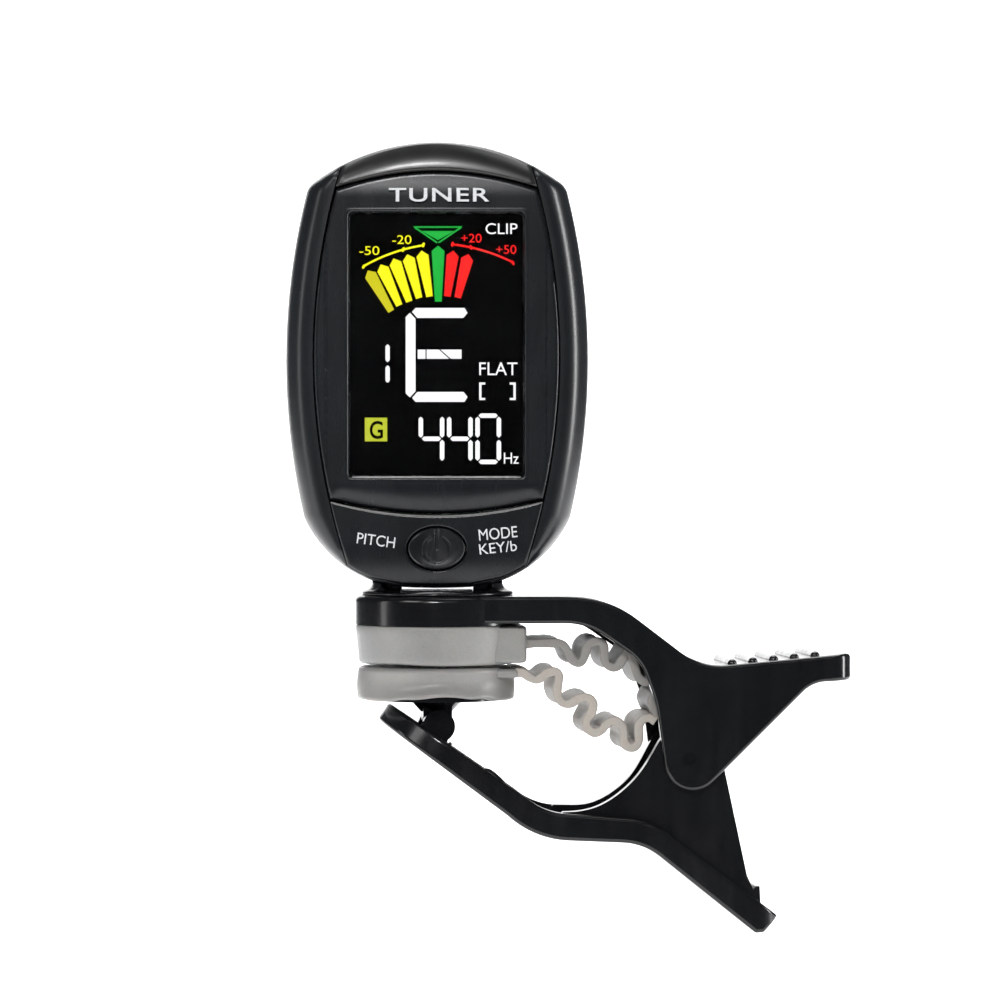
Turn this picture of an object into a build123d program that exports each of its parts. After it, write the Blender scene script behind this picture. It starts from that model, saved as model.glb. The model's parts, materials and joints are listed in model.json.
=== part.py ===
# Clip-on tuner: a display head on a swivel-and-tilt yoke, carried by a sprung two-arm clip.
# Origin: centre of the upper pad's gripping face. +X towards the levers, +Y away from the
# display side, +Z up. Millimetres.
import os

from build123d import *

# ---------------------------------------------------------------- driving dimensions
# head
REST_YAW = -5.0              # degrees the yoke and head are swivelled from the clip at rest
HEAD_FRONT = -7.0            # depth of the side wings' front
HEAD_PARTING = -1.0          # depth where the front and rear shells meet
HEAD_BACK = 6.6              # depth of the flat back
HEAD_TOP = 61.1
HEAD_BOTTOM = 8.95
HEAD_MIDDLE = 36.2           # height of the widest place
HEAD_HALF = 17.7             # half width at the widest place
SHOULDER = (15.1, 55.9)
CHEEK = (15.6, 17.2)         # where the side turns towards the underside
CHEEK_MIDDLE = (12.4, 12.75)
JAW = (7.6, 9.82)            # where the cheek meets the shallow underside
CORNER_RADIUS = 2.2
WALL = 1.6
SEAM_HALF = 14.35            # half width of the central panel at its widest
SEAM_RADIUS = 76.5
PANEL_BACK = -5.2
PANEL_FRONT = -7.6
PANEL_GAP = 0.08
SCREEN_HALF = 10.35
SCREEN_LOW = 21.76
SCREEN_HIGH = 53.06
CHIN_ARC_Z = 17.76           # rocker panel's top edge, at the middle
CHIN_ARC_END_Z = 19.3
VISOR_ARC_Z = 58.35
VISOR_ARC_END = (11.6, 56.3)
BUTTON_Z = 13.7
BUTTON_AXES = (3.35, 2.46)

# battery
CELL_RADIUS = 10.0           # CR2032
CELL_THICK = 3.2
CELL_Z = 36.5
CELL_FLOOR = 1.6
DOOR_HALF = 10.7
DOOR_LOW = 22.1
DOOR_INNER = 5.05

# tilt hinge and swivel
TILT_Y = 3.0
TILT_Z = 12.0
EAR_RADIUS = 2.8
EAR_INNER = 4.2
EAR_OUTER = 7.65
TILT_PIN_RADIUS = 1.1
RUNNING_GAP = 0.05
YOKE_BASE_LOW = 8.15
YOKE_BASE_HIGH = 8.7
YOKE_BASE_RADIUS = 8.88
STUB_RADIUS = 3.5
STUB_LOW = 3.4

# clip
ARM_HALF = 8.4               # half the arms' width
BOSS_RADIUS = 9.7
BOSS_TOP = 8.1
BOSS_LOW = 4.72
PLUG_RADIUS = 8.3
PAD_RADIUS = 9.65
PIVOT_X = 28.86
PIVOT_Z = -10.95
PIVOT_PIN_RADIUS = 1.5
PLATE_GAP = 0.2              # between the two arms' side plates
UPPER_PLATE = 1.3            # thickness of the upper arm's side plates
RIB_RADIUS = 0.55
RIB_HALF = 6.4               # half the straight length of a grip rib
EAR_PLATE = 1.5
THROAT_CUT = 0.85            # how far the far ear's throat stands back from the near one's
SHOE_X = -0.1
SHOE_Z = -7.2
SHOE_PIN_RADIUS = 0.8
LUG_RADIUS = 1.9
SHOE_CENTRE_X = -0.2
SHOE_PAD_RADIUS = 9.4
STRAP_THICK = 0.9
STRAP_HALF = 5.8

os.makedirs("parts", exist_ok=True)


def write(part, name):
    """Label a finished piece and write its STEP file."""
    part.label = name
    export_step(part, f"parts/{name}.step")


def write_swivelled(part, name):
    """Write a piece of the yoke or head, turned with the swivel."""
    write(part.rotate(Axis.Z, REST_YAW), name)


def front_plane(depth):
    """Plane at a depth Y, drawn in X and Z, whose extrusions go towards the viewer."""
    return Plane.XZ.offset(-depth)


# ---------------------------------------------------------------- shared outlines
def place(flat, depth):
    """Put a flat outline on the front plane at a depth."""
    with BuildSketch(front_plane(depth)) as placed:
        add(flat)
    return placed.sketch


def head_outline(inset=0.0):
    """The head's barrel-sided outline with sloping shoulders."""
    right_top = SHOULDER
    left_top = (-SHOULDER[0], SHOULDER[1])
    with BuildSketch(mode=Mode.PRIVATE) as outline:
        with BuildLine():
            ThreePointArc(right_top, (0, HEAD_TOP), left_top)
            ThreePointArc(left_top, (-HEAD_HALF, HEAD_MIDDLE), (-CHEEK[0], CHEEK[1]))
            ThreePointArc((-CHEEK[0], CHEEK[1]), (-CHEEK_MIDDLE[0], CHEEK_MIDDLE[1]), (-JAW[0], JAW[1]))
            ThreePointArc((-JAW[0], JAW[1]), (0, HEAD_BOTTOM), JAW)
            ThreePointArc(JAW, CHEEK_MIDDLE, CHEEK)
            ThreePointArc(CHEEK, (HEAD_HALF, HEAD_MIDDLE), right_top)
        make_face()
        # shrinking and growing back rounds the corners
        offset(amount=-CORNER_RADIUS)
        offset(amount=CORNER_RADIUS - inset)
    return outline.sketch_local


def seam_outline(half):
    """A tall lens shape between the two curved seams."""
    centre_x = half - SEAM_RADIUS
    with BuildSketch(mode=Mode.PRIVATE) as lens:
        with Locations((centre_x, HEAD_MIDDLE)):
            Circle(SEAM_RADIUS)
        with Locations((-centre_x, HEAD_MIDDLE)):
            Circle(SEAM_RADIUS, mode=Mode.INTERSECT)
    return lens.sketch_local


def panel_outline(gap=0.0):
    """The central panel's outline: inside the seams and just inside the head's edge."""
    with BuildSketch(mode=Mode.PRIVATE) as panel:
        add(head_outline(0.9 + gap))
        add(seam_outline(SEAM_HALF - gap), mode=Mode.INTERSECT)
    return panel.sketch_local


def below_arc(middle_z, end_x, end_z):
    """Everything below a shallow arc across the head."""
    with BuildSketch(mode=Mode.PRIVATE) as area:
        with BuildLine():
            ThreePointArc((-end_x, end_z), (0, middle_z), (end_x, end_z))
            Polyline((end_x, end_z), (end_x, 0), (-end_x, 0), (-end_x, end_z))
        make_face()
    return area.sketch_local


# ---------------------------------------------------------------- head shells
SCREW_PLACES = [(x, z) for x in (-13.2, 13.2) for z in (24.0, 47.0)]

with BuildPart() as front_housing:
    extrude(place(head_outline(), HEAD_PARTING), amount=HEAD_PARTING - HEAD_FRONT)
    fillet(front_housing.faces().sort_by(Axis.Y)[0].edges(), radius=2.0)
    extrude(place(panel_outline(), PANEL_BACK), amount=PANEL_BACK - HEAD_FRONT + 1, mode=Mode.SUBTRACT)
    extrude(place(panel_outline(gap=0.8), PANEL_BACK + 1), amount=2, mode=Mode.SUBTRACT)
    extrude(place(head_outline(WALL), HEAD_PARTING), amount=3.4, mode=Mode.SUBTRACT)
    with BuildSketch(front_plane(HEAD_PARTING)):
        with Locations(*SCREW_PLACES):
            Circle(2.0)
    extrude(amount=3.5)
    with BuildSketch(front_plane(HEAD_PARTING)):
        with Locations(*SCREW_PLACES):
            Circle(0.9)
    extrude(amount=3.0, mode=Mode.SUBTRACT)
write_swivelled(front_housing.part, "front_housing")

with BuildPart() as head_back_form:
    extrude(place(head_outline(), HEAD_BACK), amount=HEAD_BACK - HEAD_PARTING)
    fillet(head_back_form.faces().sort_by(Axis.Y)[-1].edges(), radius=1.9)

CAVITY_LOW = 16.5
CAVITY_BACK = 3.4
NECK_HIGH = 15.0

with BuildPart() as rear_cavity:
    extrude(place(head_outline(WALL), CAVITY_BACK), amount=CAVITY_BACK - HEAD_PARTING)
    with BuildSketch(Plane.XY.offset(CAVITY_LOW)):
        Rectangle(60, 60)
    extrude(amount=60, mode=Mode.INTERSECT)

with BuildPart() as rear_housing:
    add(head_back_form.part)
    add(rear_cavity.part, mode=Mode.SUBTRACT)
    # battery well standing in the cavity
    with BuildSketch(front_plane(CAVITY_BACK)):
        with Locations((0, CELL_Z)):
            Circle(CELL_RADIUS + 1.2)
    extrude(amount=CAVITY_BACK - CELL_FLOOR + 0.8)
    with BuildSketch(front_plane(HEAD_BACK)):
        with Locations((0, CELL_Z)):
            Circle(CELL_RADIUS + 0.3)
    extrude(amount=HEAD_BACK - CELL_FLOOR, mode=Mode.SUBTRACT)
    # door recess, open at the top edge, with a groove along each side
    with BuildSketch(front_plane(HEAD_BACK + 1)):
        with Locations((0, DOOR_LOW - 0.1)):
            Rectangle(2 * DOOR_HALF + 0.2, 60, align=(Align.CENTER, Align.MIN))
    extrude(amount=HEAD_BACK + 1 - DOOR_INNER + 0.05, mode=Mode.SUBTRACT)
    with BuildSketch(front_plane(DOOR_INNER + 0.75)):
        with Locations((0, DOOR_LOW - 0.1)):
            Rectangle(2 * DOOR_HALF + 1.4, 60, align=(Align.CENTER, Align.MIN))
    extrude(amount=0.8, mode=Mode.SUBTRACT)
    # screw bosses, shank holes and head pockets
    with BuildSketch(front_plane(CAVITY_BACK)):
        with Locations(*SCREW_PLACES):
            Circle(2.0)
    extrude(amount=CAVITY_BACK - HEAD_PARTING)
    with BuildSketch(front_plane(HEAD_BACK)):
        with Locations(*SCREW_PLACES):
            Circle(1.0)
    extrude(amount=HEAD_BACK - HEAD_PARTING, mode=Mode.SUBTRACT)
    with BuildSketch(front_plane(HEAD_BACK)):
        with Locations(*SCREW_PLACES):
            Circle(1.45)
    extrude(amount=2.4, mode=Mode.SUBTRACT)
    # room for the yoke's ears and base, swept from hanging down to pointing back
    with BuildSketch(Plane.YZ.offset(-9.3)):
        with BuildLine():
            Polyline((0, 0), (0, NECK_HIGH), (20, NECK_HIGH), (20, 0), (0, 0))
        make_face()
    extrude(amount=18.6, mode=Mode.SUBTRACT)
    with BuildSketch(Plane.YZ.offset(-9.3)):
        with Locations((TILT_Y + 3.05, NECK_HIGH - 1)):
            Rectangle(20, 4.4, align=(Align.MIN, Align.MIN))
    extrude(amount=18.6, mode=Mode.SUBTRACT)
    # hinge lug between the ears
    with BuildSketch(Plane.YZ.offset(-EAR_INNER + 0.25)):
        with BuildLine():
            Polyline((-0.5, HEAD_BOTTOM + 0.6), (-0.5, NECK_HIGH + 0.5), (5.6, NECK_HIGH + 0.5),
                     (5.6, TILT_Z), (TILT_Y + 2.95, TILT_Z))
            ThreePointArc((TILT_Y + 2.95, TILT_Z), (TILT_Y + 2.086, TILT_Z - 2.086),
                          (TILT_Y, TILT_Z - 2.95))
            Line((TILT_Y, TILT_Z - 2.95), (-0.5, HEAD_BOTTOM + 0.6))
        make_face()
    extrude(amount=2 * EAR_INNER - 0.5)
    with BuildSketch(Plane.YZ.offset(-9.3)):
        with Locations((TILT_Y, TILT_Z)):
            Circle(TILT_PIN_RADIUS + RUNNING_GAP)
    extrude(amount=18.6, mode=Mode.SUBTRACT)
write_swivelled(rear_housing.part, "rear_housing")

with BuildPart() as battery_door:
    add(head_back_form.part)
    with BuildSketch(front_plane(HEAD_BACK + 1)):
        with Locations((0, DOOR_LOW)):
            Rectangle(2 * DOOR_HALF, 60, align=(Align.CENTER, Align.MIN))
    extrude(amount=HEAD_BACK + 1 - DOOR_INNER, mode=Mode.INTERSECT)
    # side tongues, and thumb grooves across the outside
    with BuildSketch(front_plane(DOOR_INNER + 0.65)):
        with Locations((0, DOOR_LOW + 3)):
            Rectangle(2 * DOOR_HALF + 1.1, 24, align=(Align.CENTER, Align.MIN))
    extrude(amount=0.6)
    with BuildSketch(front_plane(HEAD_BACK)):
        with Locations(*[(0, DOOR_LOW + 3.2 + 1.5 * step) for step in range(4)]):
            SlotOverall(10, 0.7)
    extrude(amount=0.35, mode=Mode.SUBTRACT)
write_swivelled(battery_door.part, "battery_door")

with BuildPart() as case_screws:
    with BuildSketch(front_plane(HEAD_BACK - 0.9)):
        with Locations(*SCREW_PLACES):
            Circle(1.4)
    extrude(amount=1.4)
    with BuildSketch(front_plane(HEAD_BACK - 2.3)):
        with Locations(*SCREW_PLACES):
            Circle(0.85)
    extrude(amount=7.6)
    with BuildSketch(front_plane(HEAD_BACK - 0.9)):
        with Locations(*SCREW_PLACES):
            Rectangle(1.8, 0.35)
            Rectangle(0.35, 1.8)
    extrude(amount=0.7, mode=Mode.SUBTRACT)
write_swivelled(case_screws.part, "case_screws")

# ---------------------------------------------------------------- central panel
with BuildPart() as face_bezel:
    extrude(place(panel_outline(PANEL_GAP), PANEL_BACK), amount=PANEL_BACK - PANEL_FRONT)
    extrude(place(below_arc(CHIN_ARC_Z, 16, 20.5), PANEL_BACK), amount=4, mode=Mode.SUBTRACT)
    with BuildSketch(front_plane(PANEL_BACK)):
        with BuildLine():
            ThreePointArc((-VISOR_ARC_END[0], VISOR_ARC_END[1]), (0, VISOR_ARC_Z), VISOR_ARC_END)
            Polyline(VISOR_ARC_END, (16, 56), (16, 70), (-16, 70), (-16, 56),
                     (-VISOR_ARC_END[0], VISOR_ARC_END[1]))
        make_face()
    extrude(amount=4, mode=Mode.SUBTRACT)
    with BuildSketch(front_plane(PANEL_BACK)):
        with Locations((0, (SCREEN_LOW + SCREEN_HIGH) / 2)):
            RectangleRounded(2 * SCREEN_HALF, SCREEN_HIGH - SCREEN_LOW, 0.5)
    extrude(amount=4, mode=Mode.SUBTRACT)
    with BuildSketch(front_plane(PANEL_BACK)):
        with Locations((0, (SCREEN_LOW + SCREEN_HIGH) / 2)):
            Rectangle(22.4, SCREEN_HIGH - SCREEN_LOW + 1.4)
    extrude(amount=1.3, mode=Mode.SUBTRACT)
write_swivelled(face_bezel.part, "face_bezel")

with BuildPart() as top_visor:
    extrude(place(panel_outline(PANEL_GAP), PANEL_BACK), amount=PANEL_BACK - PANEL_FRONT + 0.6)
    with BuildSketch(front_plane(PANEL_BACK)):
        with BuildLine():
            ThreePointArc((-VISOR_ARC_END[0], VISOR_ARC_END[1] + 0.12), (0, VISOR_ARC_Z + 0.12),
                          (VISOR_ARC_END[0], VISOR_ARC_END[1] + 0.12))
            Polyline((VISOR_ARC_END[0], VISOR_ARC_END[1] + 0.12), (11.6, 70), (-11.6, 70),
                     (-VISOR_ARC_END[0], VISOR_ARC_END[1] + 0.12))
        make_face()
    extrude(amount=4, mode=Mode.INTERSECT)
    fillet(top_visor.faces().sort_by(Axis.Y)[0].edges(), radius=0.3)
write_swivelled(top_visor.part, "top_visor")

ROCKER_BACK = -6.2
ROCKER_AXIS_Y = -6.5
with BuildPart() as rocker_panel:
    extrude(place(panel_outline(0.15), ROCKER_BACK), amount=ROCKER_BACK - PANEL_FRONT)
    extrude(place(below_arc(CHIN_ARC_Z - 0.25, 16, 20.25), ROCKER_BACK), amount=4, mode=Mode.INTERSECT)
    with BuildSketch(front_plane(ROCKER_BACK)):
        with Locations((0, BUTTON_Z)):
            Ellipse(BUTTON_AXES[0] + 0.25, BUTTON_AXES[1] + 0.25)
    extrude(amount=4, mode=Mode.SUBTRACT)
    # actuator posts over the two outer switches
    with BuildSketch(front_plane(-5.35)):
        with Locations((-7.5, 14.2), (7.5, 14.2)):
            Circle(0.9)
    extrude(amount=1.0)
    # two short round ribs it rocks on, one above and one below the button
    for low, high in ((16.7, 17.2), (10.2, 10.7)):
        with BuildSketch(Plane.XY.offset(low)):
            with Locations((0, ROCKER_AXIS_Y)):
                Circle(0.5)
        extrude(amount=high - low)
write_swivelled(rocker_panel.part, "rocker_panel")

with BuildPart() as power_button:
    with BuildSketch(front_plane(-5.35)):
        with Locations((0, BUTTON_Z)):
            Ellipse(*BUTTON_AXES)
    extrude(amount=2.4)
    fillet(power_button.faces().sort_by(Axis.Y)[0].edges(), radius=0.4)
    with BuildSketch(front_plane(-5.45)):
        with Locations((0, BUTTON_Z)):
            Ellipse(BUTTON_AXES[0] + 0.4, BUTTON_AXES[1] + 0.4)
    extrude(amount=0.5)
write_swivelled(power_button.part, "power_button")

# ---------------------------------------------------------------- display and electronics
SCREEN_MIDDLE = (SCREEN_LOW + SCREEN_HIGH) / 2


def head_slab(name, back, thick, width, height, centre_x=0.0, centre_z=SCREEN_MIDDLE):
    """A flat rectangular piece lying parallel to the display."""
    with BuildPart() as slab:
        with BuildSketch(front_plane(back)):
            with Locations((centre_x, centre_z)):
                RectangleRounded(width, height, min(width, height) * 0.04)
        extrude(amount=thick)
    write_swivelled(slab.part, name)


head_slab("display_lens", -6.55, 0.8, 2 * SCREEN_HALF - 0.1, SCREEN_HIGH - SCREEN_LOW - 0.1)
head_slab("lcd_module", -5.2, 1.25, 22.0, 32.4)
head_slab("backlight", -4.15, 1.0, 21.6, 30.0)
head_slab("main_chip", -1.6, 0.8, 5.0, 5.0, 0.0, 52.0)

with BuildPart() as zebra_strips:
    with BuildSketch(front_plane(-3.45)):
        with Locations((0, 21.5), (0, 53.3)):
            Rectangle(18, 0.9)
    extrude(amount=1.75)
write_swivelled(zebra_strips.part, "zebra_strips")

with BuildPart() as main_board:
    with BuildSketch(front_plane(-2.45)):
        with Locations((0, 37)):
            Rectangle(21.6, 38)
        with Locations((0, 16.1)):
            Rectangle(17, 7.0)
    extrude(amount=1.0)
write_swivelled(main_board.part, "main_board")

with BuildPart() as key_membrane:
    with BuildSketch(front_plane(-4.4)):
        with Locations((0, BUTTON_Z + 1.2)):
            RectangleRounded(17.0, 3.2, 0.8)
    extrude(amount=0.35)
write_swivelled(key_membrane.part, "key_membrane")

with BuildPart() as tact_switches:
    with BuildSketch(front_plane(-3.45)):
        with Locations((-7.5, 14.2), (0, BUTTON_Z), (7.5, 14.2)):
            Rectangle(3.0, 2.1)
    extrude(amount=0.5)
    with BuildSketch(front_plane(-3.95)):
        with Locations((-7.5, 14.2), (0, BUTTON_Z), (7.5, 14.2)):
            Circle(0.8)
    extrude(amount=0.35)
write_swivelled(tact_switches.part, "tact_switches")

with BuildPart() as coin_cell:
    with BuildSketch(front_plane(CELL_FLOOR + 0.1 + CELL_THICK)):
        with Locations((0, CELL_Z)):
            Circle(CELL_RADIUS)
    extrude(amount=CELL_THICK)
    fillet(coin_cell.faces().sort_by(Axis.Y)[-1].edges(), radius=0.5)
write_swivelled(coin_cell.part, "coin_cell")

with BuildPart() as negative_contact:
    with BuildSketch(front_plane(CELL_FLOOR + 0.08)):
        with Locations((0, CELL_Z)):
            Circle(4.0)
            Rectangle(2.6, 13)
    extrude(amount=0.08)
write_swivelled(negative_contact.part, "negative_contact")

with BuildPart() as positive_contact:
    with BuildSketch(front_plane(CELL_FLOOR + 3.0)):
        with Locations((0, CELL_Z + CELL_RADIUS + 0.11)):
            Rectangle(2.0, 0.14)
    extrude(amount=2.6)
write_swivelled(positive_contact.part, "positive_contact")

with BuildPart() as piezo_sensor:
    with BuildSketch(front_plane(-1.4)):
        with Locations((-2.5, 22.0)):
            Circle(4.6)
    extrude(amount=0.4)
    with BuildSketch(front_plane(-1.8)):
        with Locations((-2.5, 22.0)):
            Circle(3.1)
    extrude(amount=0.3)
write_swivelled(piezo_sensor.part, "piezo_sensor")

with BuildPart() as microphone:
    with BuildSketch(front_plane(-0.95)):
        with Locations((7.4, 20.5)):
            Circle(2.0)
    extrude(amount=1.5)
write_swivelled(microphone.part, "microphone")

# ---------------------------------------------------------------- swivel yoke
with BuildPart() as swivel_yoke:
    with BuildSketch(Plane.XZ):
        with BuildLine():
            Polyline((0, STUB_LOW), (STUB_RADIUS, STUB_LOW), (STUB_RADIUS, YOKE_BASE_LOW),
                     (YOKE_BASE_RADIUS - 0.1, YOKE_BASE_LOW))
            ThreePointArc((YOKE_BASE_RADIUS - 0.1, YOKE_BASE_LOW),
                          (YOKE_BASE_RADIUS, YOKE_BASE_LOW + 0.15),
                          (YOKE_BASE_RADIUS - 0.2, YOKE_BASE_LOW + 0.35))
            Line((YOKE_BASE_RADIUS - 0.2, YOKE_BASE_LOW + 0.35), (EAR_OUTER, YOKE_BASE_HIGH))
            Polyline((EAR_OUTER, YOKE_BASE_HIGH), (0, YOKE_BASE_HIGH), (0, STUB_LOW))
        make_face()
    revolve(axis=Axis.Z)
    for side in (-1, 1):
        with BuildSketch(Plane.YZ.offset(side * (EAR_INNER + EAR_OUTER) / 2)):
            with Locations((TILT_Y, TILT_Z)):
                Circle(EAR_RADIUS)
            with Locations((TILT_Y, YOKE_BASE_HIGH - 0.1)):
                Rectangle(2 * EAR_RADIUS, TILT_Z - YOKE_BASE_HIGH + 0.1,
                          align=(Align.CENTER, Align.MIN))
        extrude(amount=(EAR_OUTER - EAR_INNER) / 2, both=True)
    with BuildSketch(Plane.YZ.offset(-9)):
        with Locations((TILT_Y, TILT_Z)):
            Circle(TILT_PIN_RADIUS)
    extrude(amount=18, mode=Mode.SUBTRACT)
    with BuildSketch(Plane.XY.offset(STUB_LOW)):
        Circle(1.2)
    extrude(amount=4.4, mode=Mode.SUBTRACT)
write_swivelled(swivel_yoke.part, "swivel_yoke")

with BuildPart() as tilt_pin:
    with BuildSketch(Plane.YZ.offset(-EAR_OUTER)):
        with Locations((TILT_Y, TILT_Z)):
            Circle(TILT_PIN_RADIUS)
    extrude(amount=2 * EAR_OUTER)
write_swivelled(tilt_pin.part, "tilt_pin")

with BuildPart() as swivel_screw:
    with BuildSketch(Plane.XY.offset(STUB_LOW - 1.5)):
        Circle(2.6)
    extrude(amount=1.1)
    with BuildSketch(Plane.XY.offset(STUB_LOW - 0.4)):
        Circle(1.2)
    extrude(amount=4.6)
    with BuildSketch(Plane.XY.offset(STUB_LOW - 1.5)):
        Rectangle(3.4, 0.6)
        Rectangle(0.6, 3.4)
    extrude(amount=0.6, mode=Mode.SUBTRACT)
write_swivelled(swivel_screw.part, "swivel_screw")

with BuildPart() as swivel_washer:
    with BuildSketch(Plane.XY.offset(STUB_LOW - 0.4)):
        Circle(5.2)
        Circle(1.2, mode=Mode.SUBTRACT)
    extrude(amount=0.4)
write_swivelled(swivel_washer.part, "swivel_washer")

with BuildPart() as friction_ring:
    with BuildSketch(Plane.XY.offset(BOSS_TOP - 0.4)):
        Circle(6.5)
        Circle(5.0, mode=Mode.SUBTRACT)
    extrude(amount=0.4)
write(friction_ring.part, "friction_ring")


# ---------------------------------------------------------------- upper arm
LEVER_START = (30.2, -0.24)
LEVER_END = (48.1, 1.36)
LEVER_SLOPE = (LEVER_END[1] - LEVER_START[1]) / (LEVER_END[0] - LEVER_START[0])
# corners of the upper arm's side view and the radius of each
UPPER_CORNERS = [
    ((19.25, BOSS_TOP), 13.0),
    (LEVER_START, 8.0),
    (LEVER_END, 0.6),
    ((48.1, -1.8), 0.5),
    ((43.35, -2.02), 4.0),
    ((26.85, -18.3), 3.3),      # the ear around the pivot
    ((25.05, -4.6), 12.0),
    ((23.2, 0.55), 6.0),
    ((16.8, 4.98), 8.0),
]


def upper_side_profile():
    """Side view of the upper arm: beam, triangular plate with the pivot ear, and lever."""
    corners = [corner for corner, radius in UPPER_CORNERS]
    radii = [radius for corner, radius in UPPER_CORNERS]
    with BuildSketch(Plane.XZ.offset(-ARM_HALF)) as profile:
        with BuildLine():
            FilletPolyline((0, BOSS_TOP), *corners, (0, 4.98), radius=radii)
            Line((0, 4.98), (0, BOSS_TOP))
        make_face()
    return profile.sketch


with BuildPart() as upper_hollow:
    # space between the side plates, under the top skin
    with BuildSketch(Plane.XZ):
        with BuildLine():
            Polyline((16.0, 3.6), (18.3, 4.9), (20.6, 4.1), (25.3, 1.2), (28.6, -1.1),
                     (32.0, -2.0), (45.2, -0.85), (45.2, -20), (16.0, -20), (16.0, 3.6))
        make_face()
    extrude(amount=ARM_HALF - UPPER_PLATE, both=True)

with BuildPart() as upper_arm:
    extrude(upper_side_profile(), amount=2 * ARM_HALF)
    with BuildSketch(Plane.XY.offset(-30)) as lever_plan:
        with Locations((-20, 0)):
            Rectangle(20 + LEVER_END[0], 2 * ARM_HALF, align=(Align.MIN, Align.CENTER))
        fillet(lever_plan.vertices().sort_by(Axis.X)[-2:], radius=2.6)
    extrude(amount=60, mode=Mode.INTERSECT)
    fillet(upper_arm.edges(), radius=0.4)
    add(upper_hollow.part, mode=Mode.SUBTRACT)
    with BuildSketch(Plane.XZ):
        with BuildLine():
            Polyline((0, BOSS_LOW), (BOSS_RADIUS, BOSS_LOW), (BOSS_RADIUS, BOSS_TOP - 0.8))
            ThreePointArc((BOSS_RADIUS, BOSS_TOP - 0.8),
                          (BOSS_RADIUS - 0.22, BOSS_TOP - 0.22),
                          (BOSS_RADIUS - 0.8, BOSS_TOP))
            Polyline((BOSS_RADIUS - 0.8, BOSS_TOP), (0, BOSS_TOP), (0, BOSS_LOW))
        make_face()
    revolve(axis=Axis.Z)
    with BuildSketch(Plane.XY.offset(1.7)):
        Circle(PLUG_RADIUS)
    extrude(amount=BOSS_LOW - 1.7)
    with BuildSketch(Plane.XY.offset(1.7)):
        Circle(6.0)
    extrude(amount=STUB_LOW + 0.05 - 1.7, mode=Mode.SUBTRACT)
    with BuildSketch(Plane.XY.offset(1.0)):
        Circle(STUB_RADIUS + RUNNING_GAP)
    extrude(amount=9, mode=Mode.SUBTRACT)
    with BuildSketch(Plane.XY.offset(BOSS_TOP - 0.4)):
        Circle(6.5)
        Circle(5.0, mode=Mode.SUBTRACT)
    extrude(amount=1, mode=Mode.SUBTRACT)
    with BuildSketch(Plane.XZ):
        with Locations((PIVOT_X, PIVOT_Z)):
            Circle(PIVOT_PIN_RADIUS)
    extrude(amount=20, both=True, mode=Mode.SUBTRACT)
    # grip ribs across the lever: round bars with round ends, sunk to their middles
    for step in range(5):
        rib_x = 34.1 + 2.44 * step
        rib_z = LEVER_START[1] + LEVER_SLOPE * (rib_x - LEVER_START[0])
        with BuildSketch(Plane.XZ.offset(-RIB_HALF)):
            with Locations((rib_x, rib_z)):
                Circle(RIB_RADIUS)
        extrude(amount=2 * RIB_HALF)
        with Locations((rib_x, RIB_HALF, rib_z), (rib_x, -RIB_HALF, rib_z)):
            Sphere(RIB_RADIUS)
write(upper_arm.part, "upper_arm")

with BuildPart() as upper_pad:
    with BuildSketch(Plane.XY):
        Circle(PAD_RADIUS - 0.45)
    with BuildSketch(Plane.XY.offset(BOSS_LOW - 0.02)):
        Circle(PAD_RADIUS)
    loft()
    with BuildSketch(Plane.XY.offset(1.65)):
        Circle(PLUG_RADIUS + 0.05)
    extrude(amount=4, mode=Mode.SUBTRACT)
write(upper_pad.part, "upper_pad")

# ---------------------------------------------------------------- pivot
with BuildPart() as pivot_pin:
    with BuildSketch(Plane.XZ.offset(-ARM_HALF)):
        with Locations((PIVOT_X, PIVOT_Z)):
            Circle(PIVOT_PIN_RADIUS)
    extrude(amount=2 * ARM_HALF)
    with BuildSketch(Plane.XZ.offset(ARM_HALF)):
        with Locations((PIVOT_X, PIVOT_Z)):
            Circle(0.7)
    extrude(amount=-0.4, mode=Mode.SUBTRACT)
    with BuildSketch(Plane.XZ.offset(-ARM_HALF)):
        with Locations((PIVOT_X, PIVOT_Z)):
            Circle(0.7)
    extrude(amount=0.4, mode=Mode.SUBTRACT)
write(pivot_pin.part, "pivot_pin")

SPRING_INNER = 1.9
SPRING_WIRE = 0.9
with BuildPart() as torsion_spring:
    with BuildSketch(Plane.XZ):
        with Locations((PIVOT_X, PIVOT_Z)):
            Circle(SPRING_INNER + SPRING_WIRE)
            Circle(SPRING_INNER, mode=Mode.SUBTRACT)
    extrude(amount=4.4, both=True)
    # one leg under the upper lever, one leg inside the lower lever
    with BuildSketch(Plane.XZ.offset(-4.4)):
        with BuildLine():
            Polyline((PIVOT_X + 1.6, PIVOT_Z + 1.8), (41.2, -2.3), (41.8, -3.0),
                     (PIVOT_X + 2.3, PIVOT_Z + 1.2), (PIVOT_X + 1.6, PIVOT_Z + 1.8))
        make_face()
    extrude(amount=SPRING_WIRE)
    with BuildSketch(Plane.XZ.offset(4.4)):
        with BuildLine():
            Polyline((PIVOT_X + 1.5, PIVOT_Z - 2.0), (36.0, -26.4), (36.8, -26.2),
                     (PIVOT_X + 2.4, PIVOT_Z - 1.0), (PIVOT_X + 1.5, PIVOT_Z - 2.0))
        make_face()
    extrude(amount=-SPRING_WIRE)
write(torsion_spring.part, "torsion_spring")

# ---------------------------------------------------------------- lower arm
ARM_SLOPE = 35.0
CUP_END = (-6.9, -6.3)       # outermost point of the rounded cup end
cup_plane = Plane(origin=(CUP_END[0], 0, CUP_END[1]), x_dir=(0.8192, 0, -0.5736),
                  z_dir=(0.5736, 0, 0.8192))


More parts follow.
